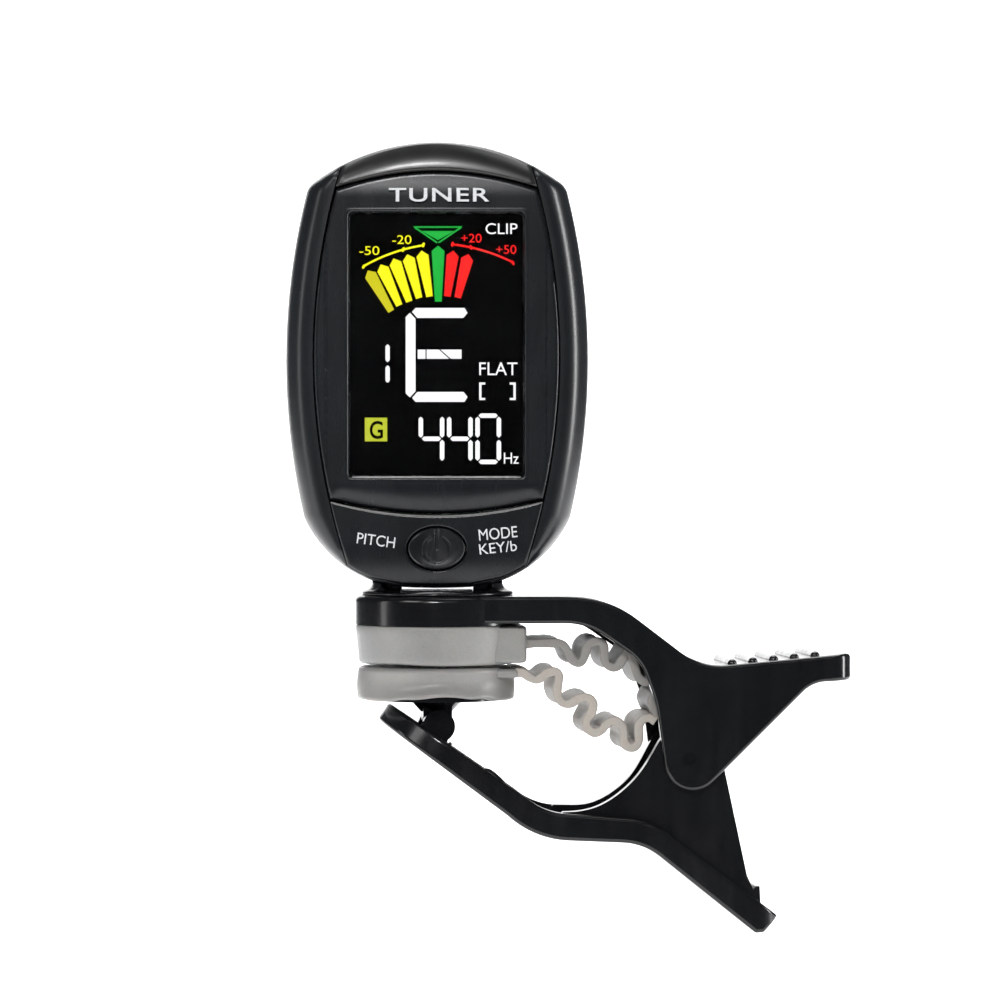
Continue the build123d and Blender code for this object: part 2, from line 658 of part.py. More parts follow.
def cup_plan(margin):
    """The arm seen square to its slope: a long strip with a rounded end."""
    half = ARM_HALF - margin
    with BuildSketch(cup_plane) as plan:
        with Locations((ARM_HALF, 0)):
            Circle(half)
            Rectangle(70, 2 * half, align=(Align.MIN, Align.CENTER))
    return plan.sketch


with BuildPart() as trough:
    with BuildSketch(Plane.XZ):
        with BuildLine():
            Polyline((-8.0, -4.5), (9.6, -17.0), (13.5, -18.8), (22.0, -19.3), (25.0, -20.4),
                     (36.3, -29.2), (42, -20), (42, 5), (-8, 5), (-8.0, -4.9))
        make_face()
    extrude(amount=ARM_HALF - EAR_PLATE, both=True)
    extrude(cup_plan(EAR_PLATE), amount=60, both=True, mode=Mode.INTERSECT)

EAR_FACE = ARM_HALF - UPPER_PLATE - PLATE_GAP     # outside of the lower arm's ears

with BuildPart() as lower_arm:
    with BuildSketch(Plane.XZ):
        with BuildLine():
            Polyline((-8.5, -5.4), (7.6, -17.4))
            ThreePointArc((7.6, -17.4), (11.0, -19.55), (14.5, -20.35))
            Line((14.5, -20.35), (21.0, -20.65))
            ThreePointArc((21.0, -20.65), (23.3, -21.1), (25.3, -22.2))
            Polyline((25.3, -22.2), (36.65, -31.3), (37.6, -31.25), (39.45, -29.4), (25.9, -19.15))
            ThreePointArc((25.9, -19.15), (23.6, -18.15), (21.0, -17.75))
            Line((21.0, -17.75), (14.3, -17.2))
            ThreePointArc((14.3, -17.2), (12.0, -16.65), (9.8, -15.3))
            Polyline((9.8, -15.3), (-6.3, -4.15), (-8.5, -4.15), (-8.5, -5.4))
        make_face()
    extrude(amount=ARM_HALF, both=True)
    extrude(cup_plan(0), amount=60, both=True, mode=Mode.INTERSECT)
    with BuildSketch(Plane.XY.offset(-60)) as lower_lever_plan:
        with Locations((-20, 0)):
            Rectangle(59.45, 2 * ARM_HALF, align=(Align.MIN, Align.CENTER))
        fillet(lower_lever_plan.vertices().sort_by(Axis.X)[-2:], radius=2.4)
    extrude(amount=90, mode=Mode.INTERSECT)
    fillet(lower_arm.edges(), radius=0.45)
    add(trough.part, mode=Mode.SUBTRACT)
    # triangular ears that carry the pivot; the throat of the far one is cut back a little
    for side, cut in ((1, 0.0), (-1, THROAT_CUT)):
        with BuildSketch(Plane.XZ.offset(side * (EAR_FACE - EAR_PLATE / 2))):
            with BuildLine():
                Line((13.6, -18.0), (14.2, -17.1))
                Spline((14.2, -17.1), (18.4 + 0.3 * cut, -16.4 - 0.6 * cut),
                       (22.0 + 0.75 * cut, -13.9 - 0.75 * cut), (25.4 + 0.9 * cut, -9.0),
                       tangents=((1, 0), (0.55, 1)))
                ThreePointArc((25.4 + 0.9 * cut, -9.0), (PIVOT_X, PIVOT_Z + 4.0), (33.1, -12.0))
                Polyline((33.1, -12.0), (35.8, -24.6), (37.2, -27.8), (36.8, -29.0),
                         (25.0, -20.6))
                Polyline((25.0, -20.6), (22.0, -19.5), (13.6, -19.1), (13.6, -18.0))
            make_face()
        extrude(amount=EAR_PLATE / 2, both=True)
    # bridges joining the ears to the channel walls
    for side in (-1, 1):
        with BuildSketch(Plane.XZ.offset(side * (EAR_FACE + 0.3))):
            with BuildLine():
                Polyline((13.6, -18.9), (22.0, -19.2), (25.2, -20.3), (36.6, -28.9),
                         (37.0, -27.9), (25.9, -19.4), (21.0, -18.0), (14.3, -17.6),
                         (13.6, -18.9))
            make_face()
        extrude(amount=0.3, both=True)
    with BuildSketch(Plane.XZ):
        with Locations((PIVOT_X, PIVOT_Z)):
            Circle(PIVOT_PIN_RADIUS + RUNNING_GAP)
    extrude(amount=20, both=True, mode=Mode.SUBTRACT)
    # lugs for the tilting shoe
    for side in (-1, 1):
        with BuildSketch(Plane.XZ.offset(side * 3.1)):
            with Locations((SHOE_X, SHOE_Z)):
                Circle(LUG_RADIUS)
            with BuildLine():
                Polyline((SHOE_X - LUG_RADIUS, SHOE_Z), (SHOE_X + LUG_RADIUS - 0.1, SHOE_Z - 0.4),
                         (SHOE_X + 1.0, -8.9), (SHOE_X + 1.4, -11.6), (SHOE_X - 2.6, -8.6),
                         (SHOE_X - LUG_RADIUS, SHOE_Z))
            make_face()
        extrude(amount=0.8, both=True)
    with BuildSketch(Plane.XZ):
        with Locations((SHOE_X, SHOE_Z)):
            Circle(SHOE_PIN_RADIUS)
    extrude(amount=5, both=True, mode=Mode.SUBTRACT)
    # spring rest: a small fin across the inner side of the lever
    with BuildSketch(Plane.XZ):
        with BuildLine():
            Polyline((36.2, -28.6), (37.4, -26.3), (37.9, -26.3), (38.0, -28.2), (37.2, -29.2),
                     (36.2, -28.6))
        make_face()
    extrude(amount=2.5, both=True)
write(lower_arm.part, "lower_arm")

# ---------------------------------------------------------------- tilting lower shoe
with BuildPart() as jaw_shoe:
    with BuildSketch(Plane.XY.offset(-4.2)):
        with Locations((SHOE_CENTRE_X, 0)):
            Circle(8.2)
    extrude(amount=1.9)
    with BuildSketch(Plane.XY.offset(-4.2)):
        with Locations((SHOE_X, 0)):
            Circle(3.2)
    with BuildSketch(Plane.XY.offset(-5.6)):
        with Locations((SHOE_X, 0)):
            Circle(1.9)
    loft()
    with BuildSketch(Plane.XZ):
        with Locations((SHOE_X, SHOE_Z)):
            Circle(1.7)
        with Locations((SHOE_X, SHOE_Z)):
            Rectangle(3.4, 2.2, align=(Align.CENTER, Align.MIN))
    extrude(amount=2.0, both=True)
    with BuildSketch(Plane.XZ):
        with Locations((SHOE_X, SHOE_Z)):
            Circle(SHOE_PIN_RADIUS + RUNNING_GAP)
    extrude(amount=5, both=True, mode=Mode.SUBTRACT)
write(jaw_shoe.part, "jaw_shoe")

with BuildPart() as shoe_pin:
    with BuildSketch(Plane.XZ):
        with Locations((SHOE_X, SHOE_Z)):
            Circle(SHOE_PIN_RADIUS)
    extrude(amount=3.9, both=True)
write(shoe_pin.part, "shoe_pin")

with BuildPart() as lower_pad:
    with BuildSketch(Plane.XY.offset(-4.2)):
        with Locations((SHOE_CENTRE_X, 0)):
            Circle(SHOE_PAD_RADIUS)
    extrude(amount=3.95)
    fillet(lower_pad.edges().group_by(Axis.Z)[-1], radius=0.5)
    with BuildSketch(Plane.XY.offset(-4.2)):
        with Locations((SHOE_CENTRE_X, 0)):
            Circle(8.25)
    extrude(amount=1.95, mode=Mode.SUBTRACT)
write(lower_pad.part, "lower_pad")


# ---------------------------------------------------------------- rubber strap
def strap_run(name, points, radius):
    """A corrugated rubber ribbon following a line in X and Z."""
    with BuildPart() as run:
        with BuildSketch(Plane.XZ):
            with BuildLine():
                FilletPolyline(*points, radius=radius)
            trace(line_width=STRAP_THICK)
        extrude(amount=STRAP_HALF, both=True)
    write(run.part, name)


strap_run("strap_upper",
          [(10.1, 2.4), (14.4, 2.4), (16.0, -0.2), (17.7, 3.0), (19.3, 1.6), (20.2, -0.9),
           (21.8, 2.4), (23.3, 1.0), (22.9, -1.8), (24.3, -3.2), (23.9, -5.9)], 0.55)
strap_run("strap_lower",
          [(9.45, -1.0), (11.2, -1.9), (13.4, -0.7), (13.7, -4.6), (15.1, -4.8), (17.4, -3.7),
           (17.6, -7.8), (18.8, -7.9), (20.6, -6.2), (21.6, -7.4), (22.3, -10.2),
           (23.4, -8.4), (23.9, -6.9)], 0.55)
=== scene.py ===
"""Looks of the clip-on tuner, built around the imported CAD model. Metres; shapes are drawn in millimetres."""
import json
import math

import bmesh
import bpy
import numpy as np
from mathutils import Matrix, Vector


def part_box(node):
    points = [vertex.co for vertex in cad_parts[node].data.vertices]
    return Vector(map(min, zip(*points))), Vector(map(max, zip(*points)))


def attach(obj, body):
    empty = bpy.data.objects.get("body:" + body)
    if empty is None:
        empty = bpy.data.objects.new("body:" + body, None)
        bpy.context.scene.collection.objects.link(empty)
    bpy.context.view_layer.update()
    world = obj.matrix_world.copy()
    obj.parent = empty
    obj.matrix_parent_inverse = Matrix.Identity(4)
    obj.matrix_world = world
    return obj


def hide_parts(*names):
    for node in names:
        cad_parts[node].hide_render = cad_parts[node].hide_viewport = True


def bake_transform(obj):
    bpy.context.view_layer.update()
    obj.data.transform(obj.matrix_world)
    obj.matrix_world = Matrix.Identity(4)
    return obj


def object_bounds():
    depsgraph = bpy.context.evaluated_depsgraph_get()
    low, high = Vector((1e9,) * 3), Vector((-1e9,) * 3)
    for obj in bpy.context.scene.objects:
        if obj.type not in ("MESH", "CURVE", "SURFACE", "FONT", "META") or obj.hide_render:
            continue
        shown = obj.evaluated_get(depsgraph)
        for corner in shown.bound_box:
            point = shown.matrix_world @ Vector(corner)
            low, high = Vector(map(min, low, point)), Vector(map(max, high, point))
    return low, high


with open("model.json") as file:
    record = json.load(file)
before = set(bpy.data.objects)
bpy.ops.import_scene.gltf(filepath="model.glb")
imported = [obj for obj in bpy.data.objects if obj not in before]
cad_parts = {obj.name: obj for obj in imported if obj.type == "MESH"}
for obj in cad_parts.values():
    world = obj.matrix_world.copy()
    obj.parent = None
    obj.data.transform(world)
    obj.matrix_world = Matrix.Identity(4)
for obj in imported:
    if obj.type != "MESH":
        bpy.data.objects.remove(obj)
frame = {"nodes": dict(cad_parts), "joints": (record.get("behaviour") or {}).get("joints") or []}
cad_low, cad_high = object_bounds()
NODES = frame["nodes"]
JOINTS = {joint["name"]: joint for joint in frame["joints"]}
MM = 0.001
TURN = 2 * math.pi

# the head is drawn square to the front and then turned with the yoke, as the CAD head is
tilt_axis = Vector(JOINTS["tilt"]["axis"])
HEAD = Matrix.Rotation(math.atan2(tilt_axis.y, tilt_axis.x), 4, "Z") @ Matrix.Scale(MM, 4)
CLIP = Matrix.Scale(MM, 4)


def node_points(place, *names):
    """The corners of CAD nodes in the millimetres of a place."""
    inverse = place.inverted()
    return np.array([inverse @ v.co for name in names for v in NODES[name].data.vertices])


def local_box(place, name):
    points = node_points(place, name)
    return points.min(axis=0), points.max(axis=0)


# ------------------------------ materials
def shade(rgb, factor):
    """A colour made lighter or darker, with an alpha of one."""
    return (rgb[0] * factor, rgb[1] * factor, rgb[2] * factor, 1.0)


class Shader:
    """A small helper that wires one Principled material."""

    def __init__(self, name, **inputs):
        self.material = bpy.data.materials.new(name)
        self.material.use_nodes = True
        self.tree = self.material.node_tree
        self.main = self.tree.nodes["Principled BSDF"]
        for key, value in inputs.items():
            self.main.inputs[key.replace("_", " ")].default_value = value
        self.where = self.tree.nodes.new("ShaderNodeTexCoord").outputs["Object"]
        self.bumps = None

    def noise(self, scale, detail=3.0, stretch=(1, 1, 1), roughness=0.55, distortion=0.0):
        mapping = self.tree.nodes.new("ShaderNodeMapping")
        mapping.inputs["Scale"].default_value = stretch
        self.tree.links.new(self.where, mapping.inputs["Vector"])
        node = self.tree.nodes.new("ShaderNodeTexNoise")
        node.inputs["Scale"].default_value = scale
        node.inputs["Detail"].default_value = detail
        node.inputs["Roughness"].default_value = roughness
        node.inputs["Distortion"].default_value = distortion
        self.tree.links.new(mapping.outputs["Vector"], node.inputs["Vector"])
        return node.outputs["Fac"]

    def cells(self, scale):
        node = self.tree.nodes.new("ShaderNodeTexVoronoi")
        node.inputs["Scale"].default_value = scale
        self.tree.links.new(self.where, node.inputs["Vector"])
        return node.outputs["Distance"]

    def waves(self, scale, direction="X", distortion=1.0):
        node = self.tree.nodes.new("ShaderNodeTexWave")
        node.bands_direction = direction
        node.inputs["Scale"].default_value = scale
        node.inputs["Distortion"].default_value = distortion
        self.tree.links.new(self.where, node.inputs["Vector"])
        return node.outputs["Fac"]

    def ramp(self, source, *stops):
        """A colour ramp; each stop is a place from 0 to 1 and a colour."""
        node = self.tree.nodes.new("ShaderNodeValToRGB")
        elements = node.color_ramp.elements
        while len(elements) < len(stops):
            elements.new(0.5)
        for element, (position, colour) in zip(elements, stops):
            element.position = position
            element.color = colour
        self.tree.links.new(source, node.inputs["Fac"])
        return node.outputs["Color"]

    def mix(self, factor, one, two, blend="MIX"):
        node = self.tree.nodes.new("ShaderNodeMix")
        node.data_type = "RGBA"
        node.blend_type = blend
        for key, value in (("Factor", factor), ("A", one), ("B", two)):
            socket = node.inputs[key]
            if isinstance(value, (int, float, tuple)):
                socket.default_value = value
            else:
                self.tree.links.new(value, socket)
        return [o for o in node.outputs if o.type == "RGBA"][0]

    def span(self, source, low, high, from_low=0.3, from_high=0.7):
        node = self.tree.nodes.new("ShaderNodeMapRange")
        node.inputs["From Min"].default_value = from_low
        node.inputs["From Max"].default_value = from_high
        node.inputs["To Min"].default_value = low
        node.inputs["To Max"].default_value = high
        self.tree.links.new(source, node.inputs["Value"])
        return node.outputs["Result"]

    def to(self, socket, source):
        self.tree.links.new(source, self.main.inputs[socket])

    def bump(self, source, distance, strength=1.0):
        node = self.tree.nodes.new("ShaderNodeBump")
        node.inputs["Distance"].default_value = distance
        node.inputs["Strength"].default_value = strength
        self.tree.links.new(source, node.inputs["Height"])
        if self.bumps is not None:
            self.tree.links.new(self.bumps, node.inputs["Normal"])
        self.bumps = node.outputs["Normal"]
        self.tree.links.new(self.bumps, self.main.inputs["Normal"])


def plastic(name, rgb, rough, grain=5200, depth=0.004, spread=0.35, specular=0.5, haze=0.06, coat=0.0):
    """Moulded plastic: fine grain, slow changes of tone, faint rubbed streaks."""
    s = Shader(name, Specular_IOR_Level=specular, Coat_Weight=coat, Coat_Roughness=0.08)
    slow = s.noise(90, 4)
    fine = s.noise(grain, 2)
    streaks = s.noise(420, 3, stretch=(1, 1, 0.18), distortion=0.6)
    tone = s.ramp(slow, (0.25, shade(rgb, 1 - spread)), (0.75, shade(rgb, 1 + spread)))
    specks = s.ramp(fine, (0.3, (0.86, 0.86, 0.87, 1)), (0.72, (1.12, 1.12, 1.12, 1)))
    s.to("Base Color", s.mix(1.0, tone, specks, "MULTIPLY"))
    s.to("Roughness", s.span(streaks, rough - haze, rough + haze))
    s.bump(slow, 0.00004, 0.15)
    s.bump(fine, depth * MM, 0.8)
    return s.material


def rubber(name, rgb, rough=0.46, blush=(1.0, 0.985, 0.95)):
    """Moulded silicone rubber: matt bloom, dust specks, soft waviness."""
    s = Shader(name, Specular_IOR_Level=0.42, Sheen_Weight=0.12, Sheen_Roughness=0.45, Subsurface_Weight=0.12,
               Subsurface_Scale=0.0006)
    slow = s.noise(150, 5, distortion=0.4)
    bloom = s.noise(700, 4)
    dust = s.noise(5200, 2)
    tone = s.ramp(slow, (0.28, shade(rgb, 0.88)),
                  (0.74, (rgb[0] * 1.08 * blush[0], rgb[1] * 1.08 * blush[1], rgb[2] * 1.08 * blush[2], 1)))
    marks = s.ramp(dust, (0.26, (0.9, 0.9, 0.89, 1)), (0.5, (1, 1, 1, 1)), (0.78, (1.05, 1.05, 1.05, 1)))
    s.to("Base Color", s.mix(1.0, tone, marks, "MULTIPLY"))
    s.to("Roughness", s.span(bloom, rough - 0.08, rough + 0.1))
    s.bump(bloom, 0.00003, 0.5)
    s.bump(dust, 0.000006, 0.7)
    return s.material


def metal(name, rgb, rough, brushed=(1, 1, 1), spots=0.08):
    """Bright metal with drawn or turned marks and small dull spots."""
    s = Shader(name, Metallic=1.0)
    marks = s.noise(2600, 4, stretch=brushed)
    dull = s.noise(500, 3)
    s.to("Base Color", s.ramp(dull, (0.3, shade(rgb, 0.78)), (0.62, shade(rgb, 1.0))))
    s.to("Roughness", s.span(marks, rough - spots, rough + spots))
    s.bump(marks, 0.000006, 0.7)
    return s.material


def glow(name, rgb, strength):
    """A lit area of the display, with the faint dots of its colour filter."""
    s = Shader(name, Roughness=0.6, Emission_Strength=strength)
    dots = s.cells(9000)
    cast = s.noise(160, 2)
    light = s.ramp(dots, (0.0, shade(rgb, 1.0)), (0.9, shade(rgb, 0.86)))
    slow = s.ramp(cast, (0.3, (0.94, 0.94, 0.94, 1)), (0.7, (1, 1, 1, 1)))
    mixed = s.mix(1.0, light, slow, "MULTIPLY")
    s.to("Emission Color", mixed)
    s.to("Base Color", s.mix(0.96, mixed, (0.002, 0.002, 0.002, 1)))
    return s.material


def board_green():
    """Circuit board: solder mask over darker copper tracks, with tinned spots."""
    s = Shader("board_mask", Specular_IOR_Level=0.6, Coat_Weight=0.4, Coat_Roughness=0.15)
    tracks = s.waves(260, "Z", 6.0)
    pads = s.cells(700)
    mask = s.ramp(tracks, (0.42, (0.006, 0.06, 0.022, 1)), (0.58, (0.012, 0.12, 0.04, 1)))
    tin = s.ramp(pads, (0.16, (0.55, 0.55, 0.5, 1)), (0.2, (0, 0, 0, 1)))
    s.to("Base Color", s.mix(1.0, mask, tin, "ADD"))
    s.to("Roughness", s.span(tracks, 0.25, 0.42))
    s.bump(tracks, 0.00002, 0.6)
    return s.material


def clear_window():
    """Hard-coated acrylic window, almost clear."""
    s = Shader("window_acrylic", Transmission_Weight=1.0, IOR=1.12, Specular_IOR_Level=0.2)
    smears = s.noise(160, 4, stretch=(1, 1, 0.4))
    s.to("Base Color", s.ramp(smears, (0.3, (0.95, 0.96, 0.97, 1)), (0.7, (1, 1, 1, 1))))
    s.to("Roughness", s.span(smears, 0.0, 0.05))
    return s.material


INK = (0.0066, 0.0080, 0.0094)
CLIP_INK = (0.0042, 0.0046, 0.0052)
MAT = {
    "shell": plastic("shell_satin", INK, 0.29, depth=0.006, haze=0.025, specular=0.45),
    "bezel": plastic("bezel_satin", (0.0062, 0.0074, 0.0088), 0.27, grain=6200, depth=0.004, haze=0.025,
                     specular=0.35),
    "visor": plastic("visor_gloss", (0.0080, 0.0084, 0.0078), 0.31, depth=0.0015, haze=0.02, coat=0.1),
    "clip": plastic("clip_gloss", CLIP_INK, 0.2, grain=3600, depth=0.002, specular=0.35, coat=0.15),
    "yoke": plastic("yoke_gloss", CLIP_INK, 0.22, grain=4200, depth=0.002, specular=0.35, coat=0.1),
    "lining": plastic("lining_matt", (0.010, 0.010, 0.011), 0.6),
    "button": plastic("button_satin", (0.0058, 0.0066, 0.0078), 0.27, grain=6800, depth=0.003),
    "chip": plastic("chip_resin", (0.012, 0.012, 0.013), 0.55, depth=0.008),
    "pad": rubber("pad_rubber", (0.232, 0.231, 0.227), 0.36),
    "shoe_pad": rubber("shoe_pad_rubber", (0.23, 0.226, 0.22), 0.36),
    "strap": rubber("strap_rubber", (0.36, 0.335, 0.31), 0.5, blush=(1.0, 0.96, 0.9)),
    # a darker copy of the strap rubber for the upper run: painted shade
    "strap_dark": rubber("strap_rubber_shaded", (0.21, 0.203, 0.195), 0.48, blush=(1.0, 0.98, 0.95)),
    "membrane": rubber("membrane_rubber", (0.22, 0.22, 0.22)),
    "elastomer": rubber("elastomer_pink", (0.62, 0.24, 0.26)),
    "steel": metal("turned_steel", (0.55, 0.55, 0.54), 0.3),
    "spring": metal("spring_wire", (0.42, 0.42, 0.43), 0.26, brushed=(1, 0.2, 1)),
    "cell": metal("cell_steel", (0.62, 0.61, 0.59), 0.22, brushed=(1, 1, 0.1)),
    "brass": metal("contact_brass", (0.72, 0.5, 0.22), 0.3),
    "board": board_green(),
    "window": clear_window(),
    "black": plastic("display_black", (0.0006, 0.0006, 0.0007), 0.5, depth=0.0005, specular=0.05),
    "backlight": plastic("backlight_white", (0.72, 0.73, 0.72), 0.45, spread=0.04, depth=0.003),
    "white_glow": glow("lit_white", (1.0, 1.0, 1.0), 1.14),
    "yellow_glow": glow("lit_yellow", (1.0, 0.95, 0.0), 1.14),
    "dull_yellow_glow": glow("lit_dull_yellow", (0.74, 0.68, 0.0), 1.0),
    "key_glow": glow("lit_olive", (0.58, 0.65, 0.022), 1.0),
    "green_glow": glow("lit_green", (0.0, 0.46, 0.034), 1.14),
    "red_glow": glow("lit_red", (1.0, 0.0, 0.0), 1.14),
    # light grey of the edge beads: a painted highlight on the rocker's and window's edges
    "edge": plastic("painted_highlight_edge", (0.13, 0.13, 0.125), 0.3, spread=0.2, depth=0.002),
    "print": plastic("print_white", (0.62, 0.63, 0.64), 0.5, spread=0.06, depth=0.002),
}

NODE_LOOKS = {
    "upper_arm": "clip", "lower_arm": "clip", "jaw_shoe": "clip", "friction_ring": "lining",
    "pivot_pin": "clip", "shoe_pin": "clip", "swivel_yoke": "yoke", "tilt_pin": "steel",
    "swivel_screw": "steel", "swivel_washer": "steel", "rear_housing": "shell", "display_lens": "window",
    "lcd_module": "black", "backlight": "backlight", "zebra_strips": "elastomer", "main_board": "board",
    "main_chip": "chip", "key_membrane": "membrane", "tact_switches": "chip", "coin_cell": "cell",
    "negative_contact": "brass", "positive_contact": "brass", "piezo_sensor": "brass",
    "microphone": "cell", "case_screws": "steel", "battery_door": "shell",
}
for node_name, look in NODE_LOOKS.items():
    part = NODES[node_name]
    if not part.material_slots:
        part.data.materials.append(None)
    for material_slot in part.material_slots:
        material_slot.material = MAT[look]


# ------------------------------ mesh helpers
def make(name, verts, faces, look, body=None, place=CLIP, crease=38.0, *, slot, stands_for=()):
    """A finished piece from corners in millimetres; one with no body is left unattached."""
    mesh = bpy.data.meshes.new(name)
    mesh.from_pydata([tuple(v) for v in verts], [], faces)
    mesh.transform(place)
    work = bmesh.new()
    work.from_mesh(mesh)
    bmesh.ops.remove_doubles(work, verts=work.verts, dist=1e-8)
    bmesh.ops.recalc_face_normals(work, faces=work.faces)
    work.to_mesh(mesh)
    work.free()
    mesh.polygons.foreach_set("use_smooth", [True] * len(mesh.polygons))
    mesh.set_sharp_from_angle(angle=math.radians(crease))
    mesh.materials.append(MAT[look])
    piece = bpy.data.objects.new(name, mesh)
    bpy.context.scene.collection.objects.link(piece)
    if body:
        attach(piece, body)
    if stands_for:
        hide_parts(*stands_for)
    return piece


def loft(rings, join=False):
    """Skins loops of equal length, then caps the two ends or joins them."""
    rings = np.asarray(rings, float)
    count, size = rings.shape[:2]
    faces = []
    for i in range(count if join else count - 1):
        here, there = i * size, ((i + 1) % count) * size
        for j in range(size):
            k = (j + 1) % size
            faces.append((here + j, here + k, there + k, there + j))
    if not join:
        faces.append(tuple(range(size)))
        faces.append(tuple(range(count * size - size, count * size)))
    return rings.reshape(-1, 3), faces


def merge(*solids):
    """Several closed skins as one mesh."""
    verts, faces = [], []
    for points, polygons in solids:
        start = len(verts)
        verts.extend(tuple(p) for p in points)
        faces.extend(tuple(start + i for i in polygon) for polygon in polygons)
    return verts, faces


def at_depth(loop, y):
    """A loop drawn in X and Z, placed at one depth or at a depth for each point."""
    y = np.broadcast_to(y, (len(loop),))
    return np.column_stack([loop[:, 0], y, loop[:, 1]])


def slab(loop, y_front, y_back):
    """A flat shape in X and Z given thickness in Y."""
    loop = np.asarray(loop, float)
    return loft([at_depth(loop, y_back), at_depth(loop, y_front)])


def smooth_line(points, per_span):
    """An open Catmull-Rom line through points."""
    points = np.asarray(points, float)
    padded = np.vstack([2 * points[0] - points[1], points, 2 * points[-1] - points[-2]])
    out = []
    for i in range(1, len(padded) - 2):
        p0, p1, p2, p3 = padded[i - 1:i + 3]
        for t in np.linspace(0, 1, per_span, endpoint=False):
            out.append(0.5 * (2 * p1 + (p2 - p0) * t + (2 * p0 - 5 * p1 + 4 * p2 - p3) * t * t
                              + (3 * p1 - p0 - 3 * p2 + p3) * t ** 3))
    out.append(padded[-2])
    return np.array(out)


def tube(line, radius, sides=12):
    """A round wire along a line of points, drawn in at both ends."""
    line = np.asarray(line, float)
    ahead = np.gradient(line, axis=0)
    ahead /= np.linalg.norm(ahead, axis=1, keepdims=True)
    side = np.cross(ahead[0], (0.3, 0.9, 0.2))
    rings = []
    for i, (point, along) in enumerate(zip(line, ahead)):
        side = side - along * side.dot(along)
        side /= np.linalg.norm(side)
        other = np.cross(along, side)
        size = radius * (0.55 if i in (0, len(line) - 1) else 1.0)
        turn = np.arange(sides) * TURN / sides
        rings.append(point + size * (np.cos(turn)[:, None] * side + np.sin(turn)[:, None] * other))
    return loft(rings)


def ease(value, low, high):
    t = np.clip((np.asarray(value, float) - low) / (high - low), 0, 1)
    return t * t * (3 - 2 * t)


# ------------------------------ head outlines, from the CAD head
def convex(points):
    """Convex outline of points in X and Z, anticlockwise."""
    points = sorted(set(map(tuple, np.round(points, 4))))

    def half(sequence):
        chain = []
        for p in sequence:
            while len(chain) > 1 and ((chain[-1][0] - chain[-2][0]) * (p[1] - chain[-2][1])
                                      - (chain[-1][1] - chain[-2][1]) * (p[0] - chain[-2][0])) <= 1e-9:
                chain.pop()
            chain.append(p)
        return chain[:-1]

    return np.array(half(points) + half(points[::-1]))


class Outline:
    """A convex outline with its half-planes, so that it can be inset exactly."""

    def __init__(self, points):
        self.points = np.asarray(points, float)
        edge = np.roll(self.points, -1, axis=0) - self.points
        length = np.linalg.norm(edge, axis=1)
        keep = length > 1e-6
        self.normals = np.column_stack([edge[keep, 1], -edge[keep, 0]]) / length[keep, None]
        self.offsets = (self.points[keep] * self.normals).sum(axis=1)

    def depth(self, x, z):
        """How far inside the outline a place is."""
        spots = np.stack([np.asarray(x, float), np.asarray(z, float)], axis=-1)
        return (self.offsets - spots @ self.normals.T).min(axis=-1)

    def loop(self, count):
        """Points evenly spaced along the outline."""
        closed = np.vstack([self.points, self.points[:1]])
        run = np.concatenate([[0], np.cumsum(np.linalg.norm(np.diff(closed, axis=0), axis=1))])
        spots = np.linspace(0, run[-1], count, endpoint=False)
        return np.column_stack([np.interp(spots, run, closed[:, i]) for i in (0, 1)])

    def upper(self, x):
        top = self.points[self.points[:, 1] > self.points[:, 1].mean()]
        top = top[np.argsort(top[:, 0])]
        return np.interp(x, top[:, 0], top[:, 1])

    def lower(self, x):
        low = self.points[self.points[:, 1] < self.points[:, 1].mean()]
        low = low[np.argsort(low[:, 0])]
        return np.interp(x, low[:, 0], low[:, 1])


head_outline = Outline(convex(node_points(HEAD, "front_housing", "rear_housing")[:, [0, 2]]))
bezel_outline = Outline(convex(node_points(HEAD, "face_bezel")[:, [0, 2]]))
parting_y = local_box(HEAD, "rear_housing")[0][1]
bezel_low, bezel_high = local_box(HEAD, "face_bezel")
panel_front, panel_back = bezel_low[1], bezel_high[1]
SEAM_HALF = 14.42                 # half the distance between the two seams at its widest
SEAM_MIDDLE = 36.0
SEAM_RADIUS = 76.5


def seam(z):
    """Distance of the seam from the middle line at a height."""
    return SEAM_HALF - SEAM_RADIUS + np.sqrt(SEAM_RADIUS ** 2 - (np.asarray(z, float) - SEAM_MIDDLE) ** 2)


def star(inside, centre, angles, reach=40.0):
    """The edge of a shape seen from a point inside it. inside(x, z) is positive within it."""
    ray = np.column_stack([np.cos(angles), np.sin(angles)])
    low, high = np.zeros(len(ray)), np.full(len(ray), reach)
    for _ in range(40):
        middle = (low + high) / 2
        spots = np.asarray(centre) + ray * middle[:, None]
        within = inside(spots[:, 0], spots[:, 1]) > 0
        low, high = np.where(within, middle, low), np.where(within, high, middle)
    return np.asarray(centre) + ray * low[:, None]


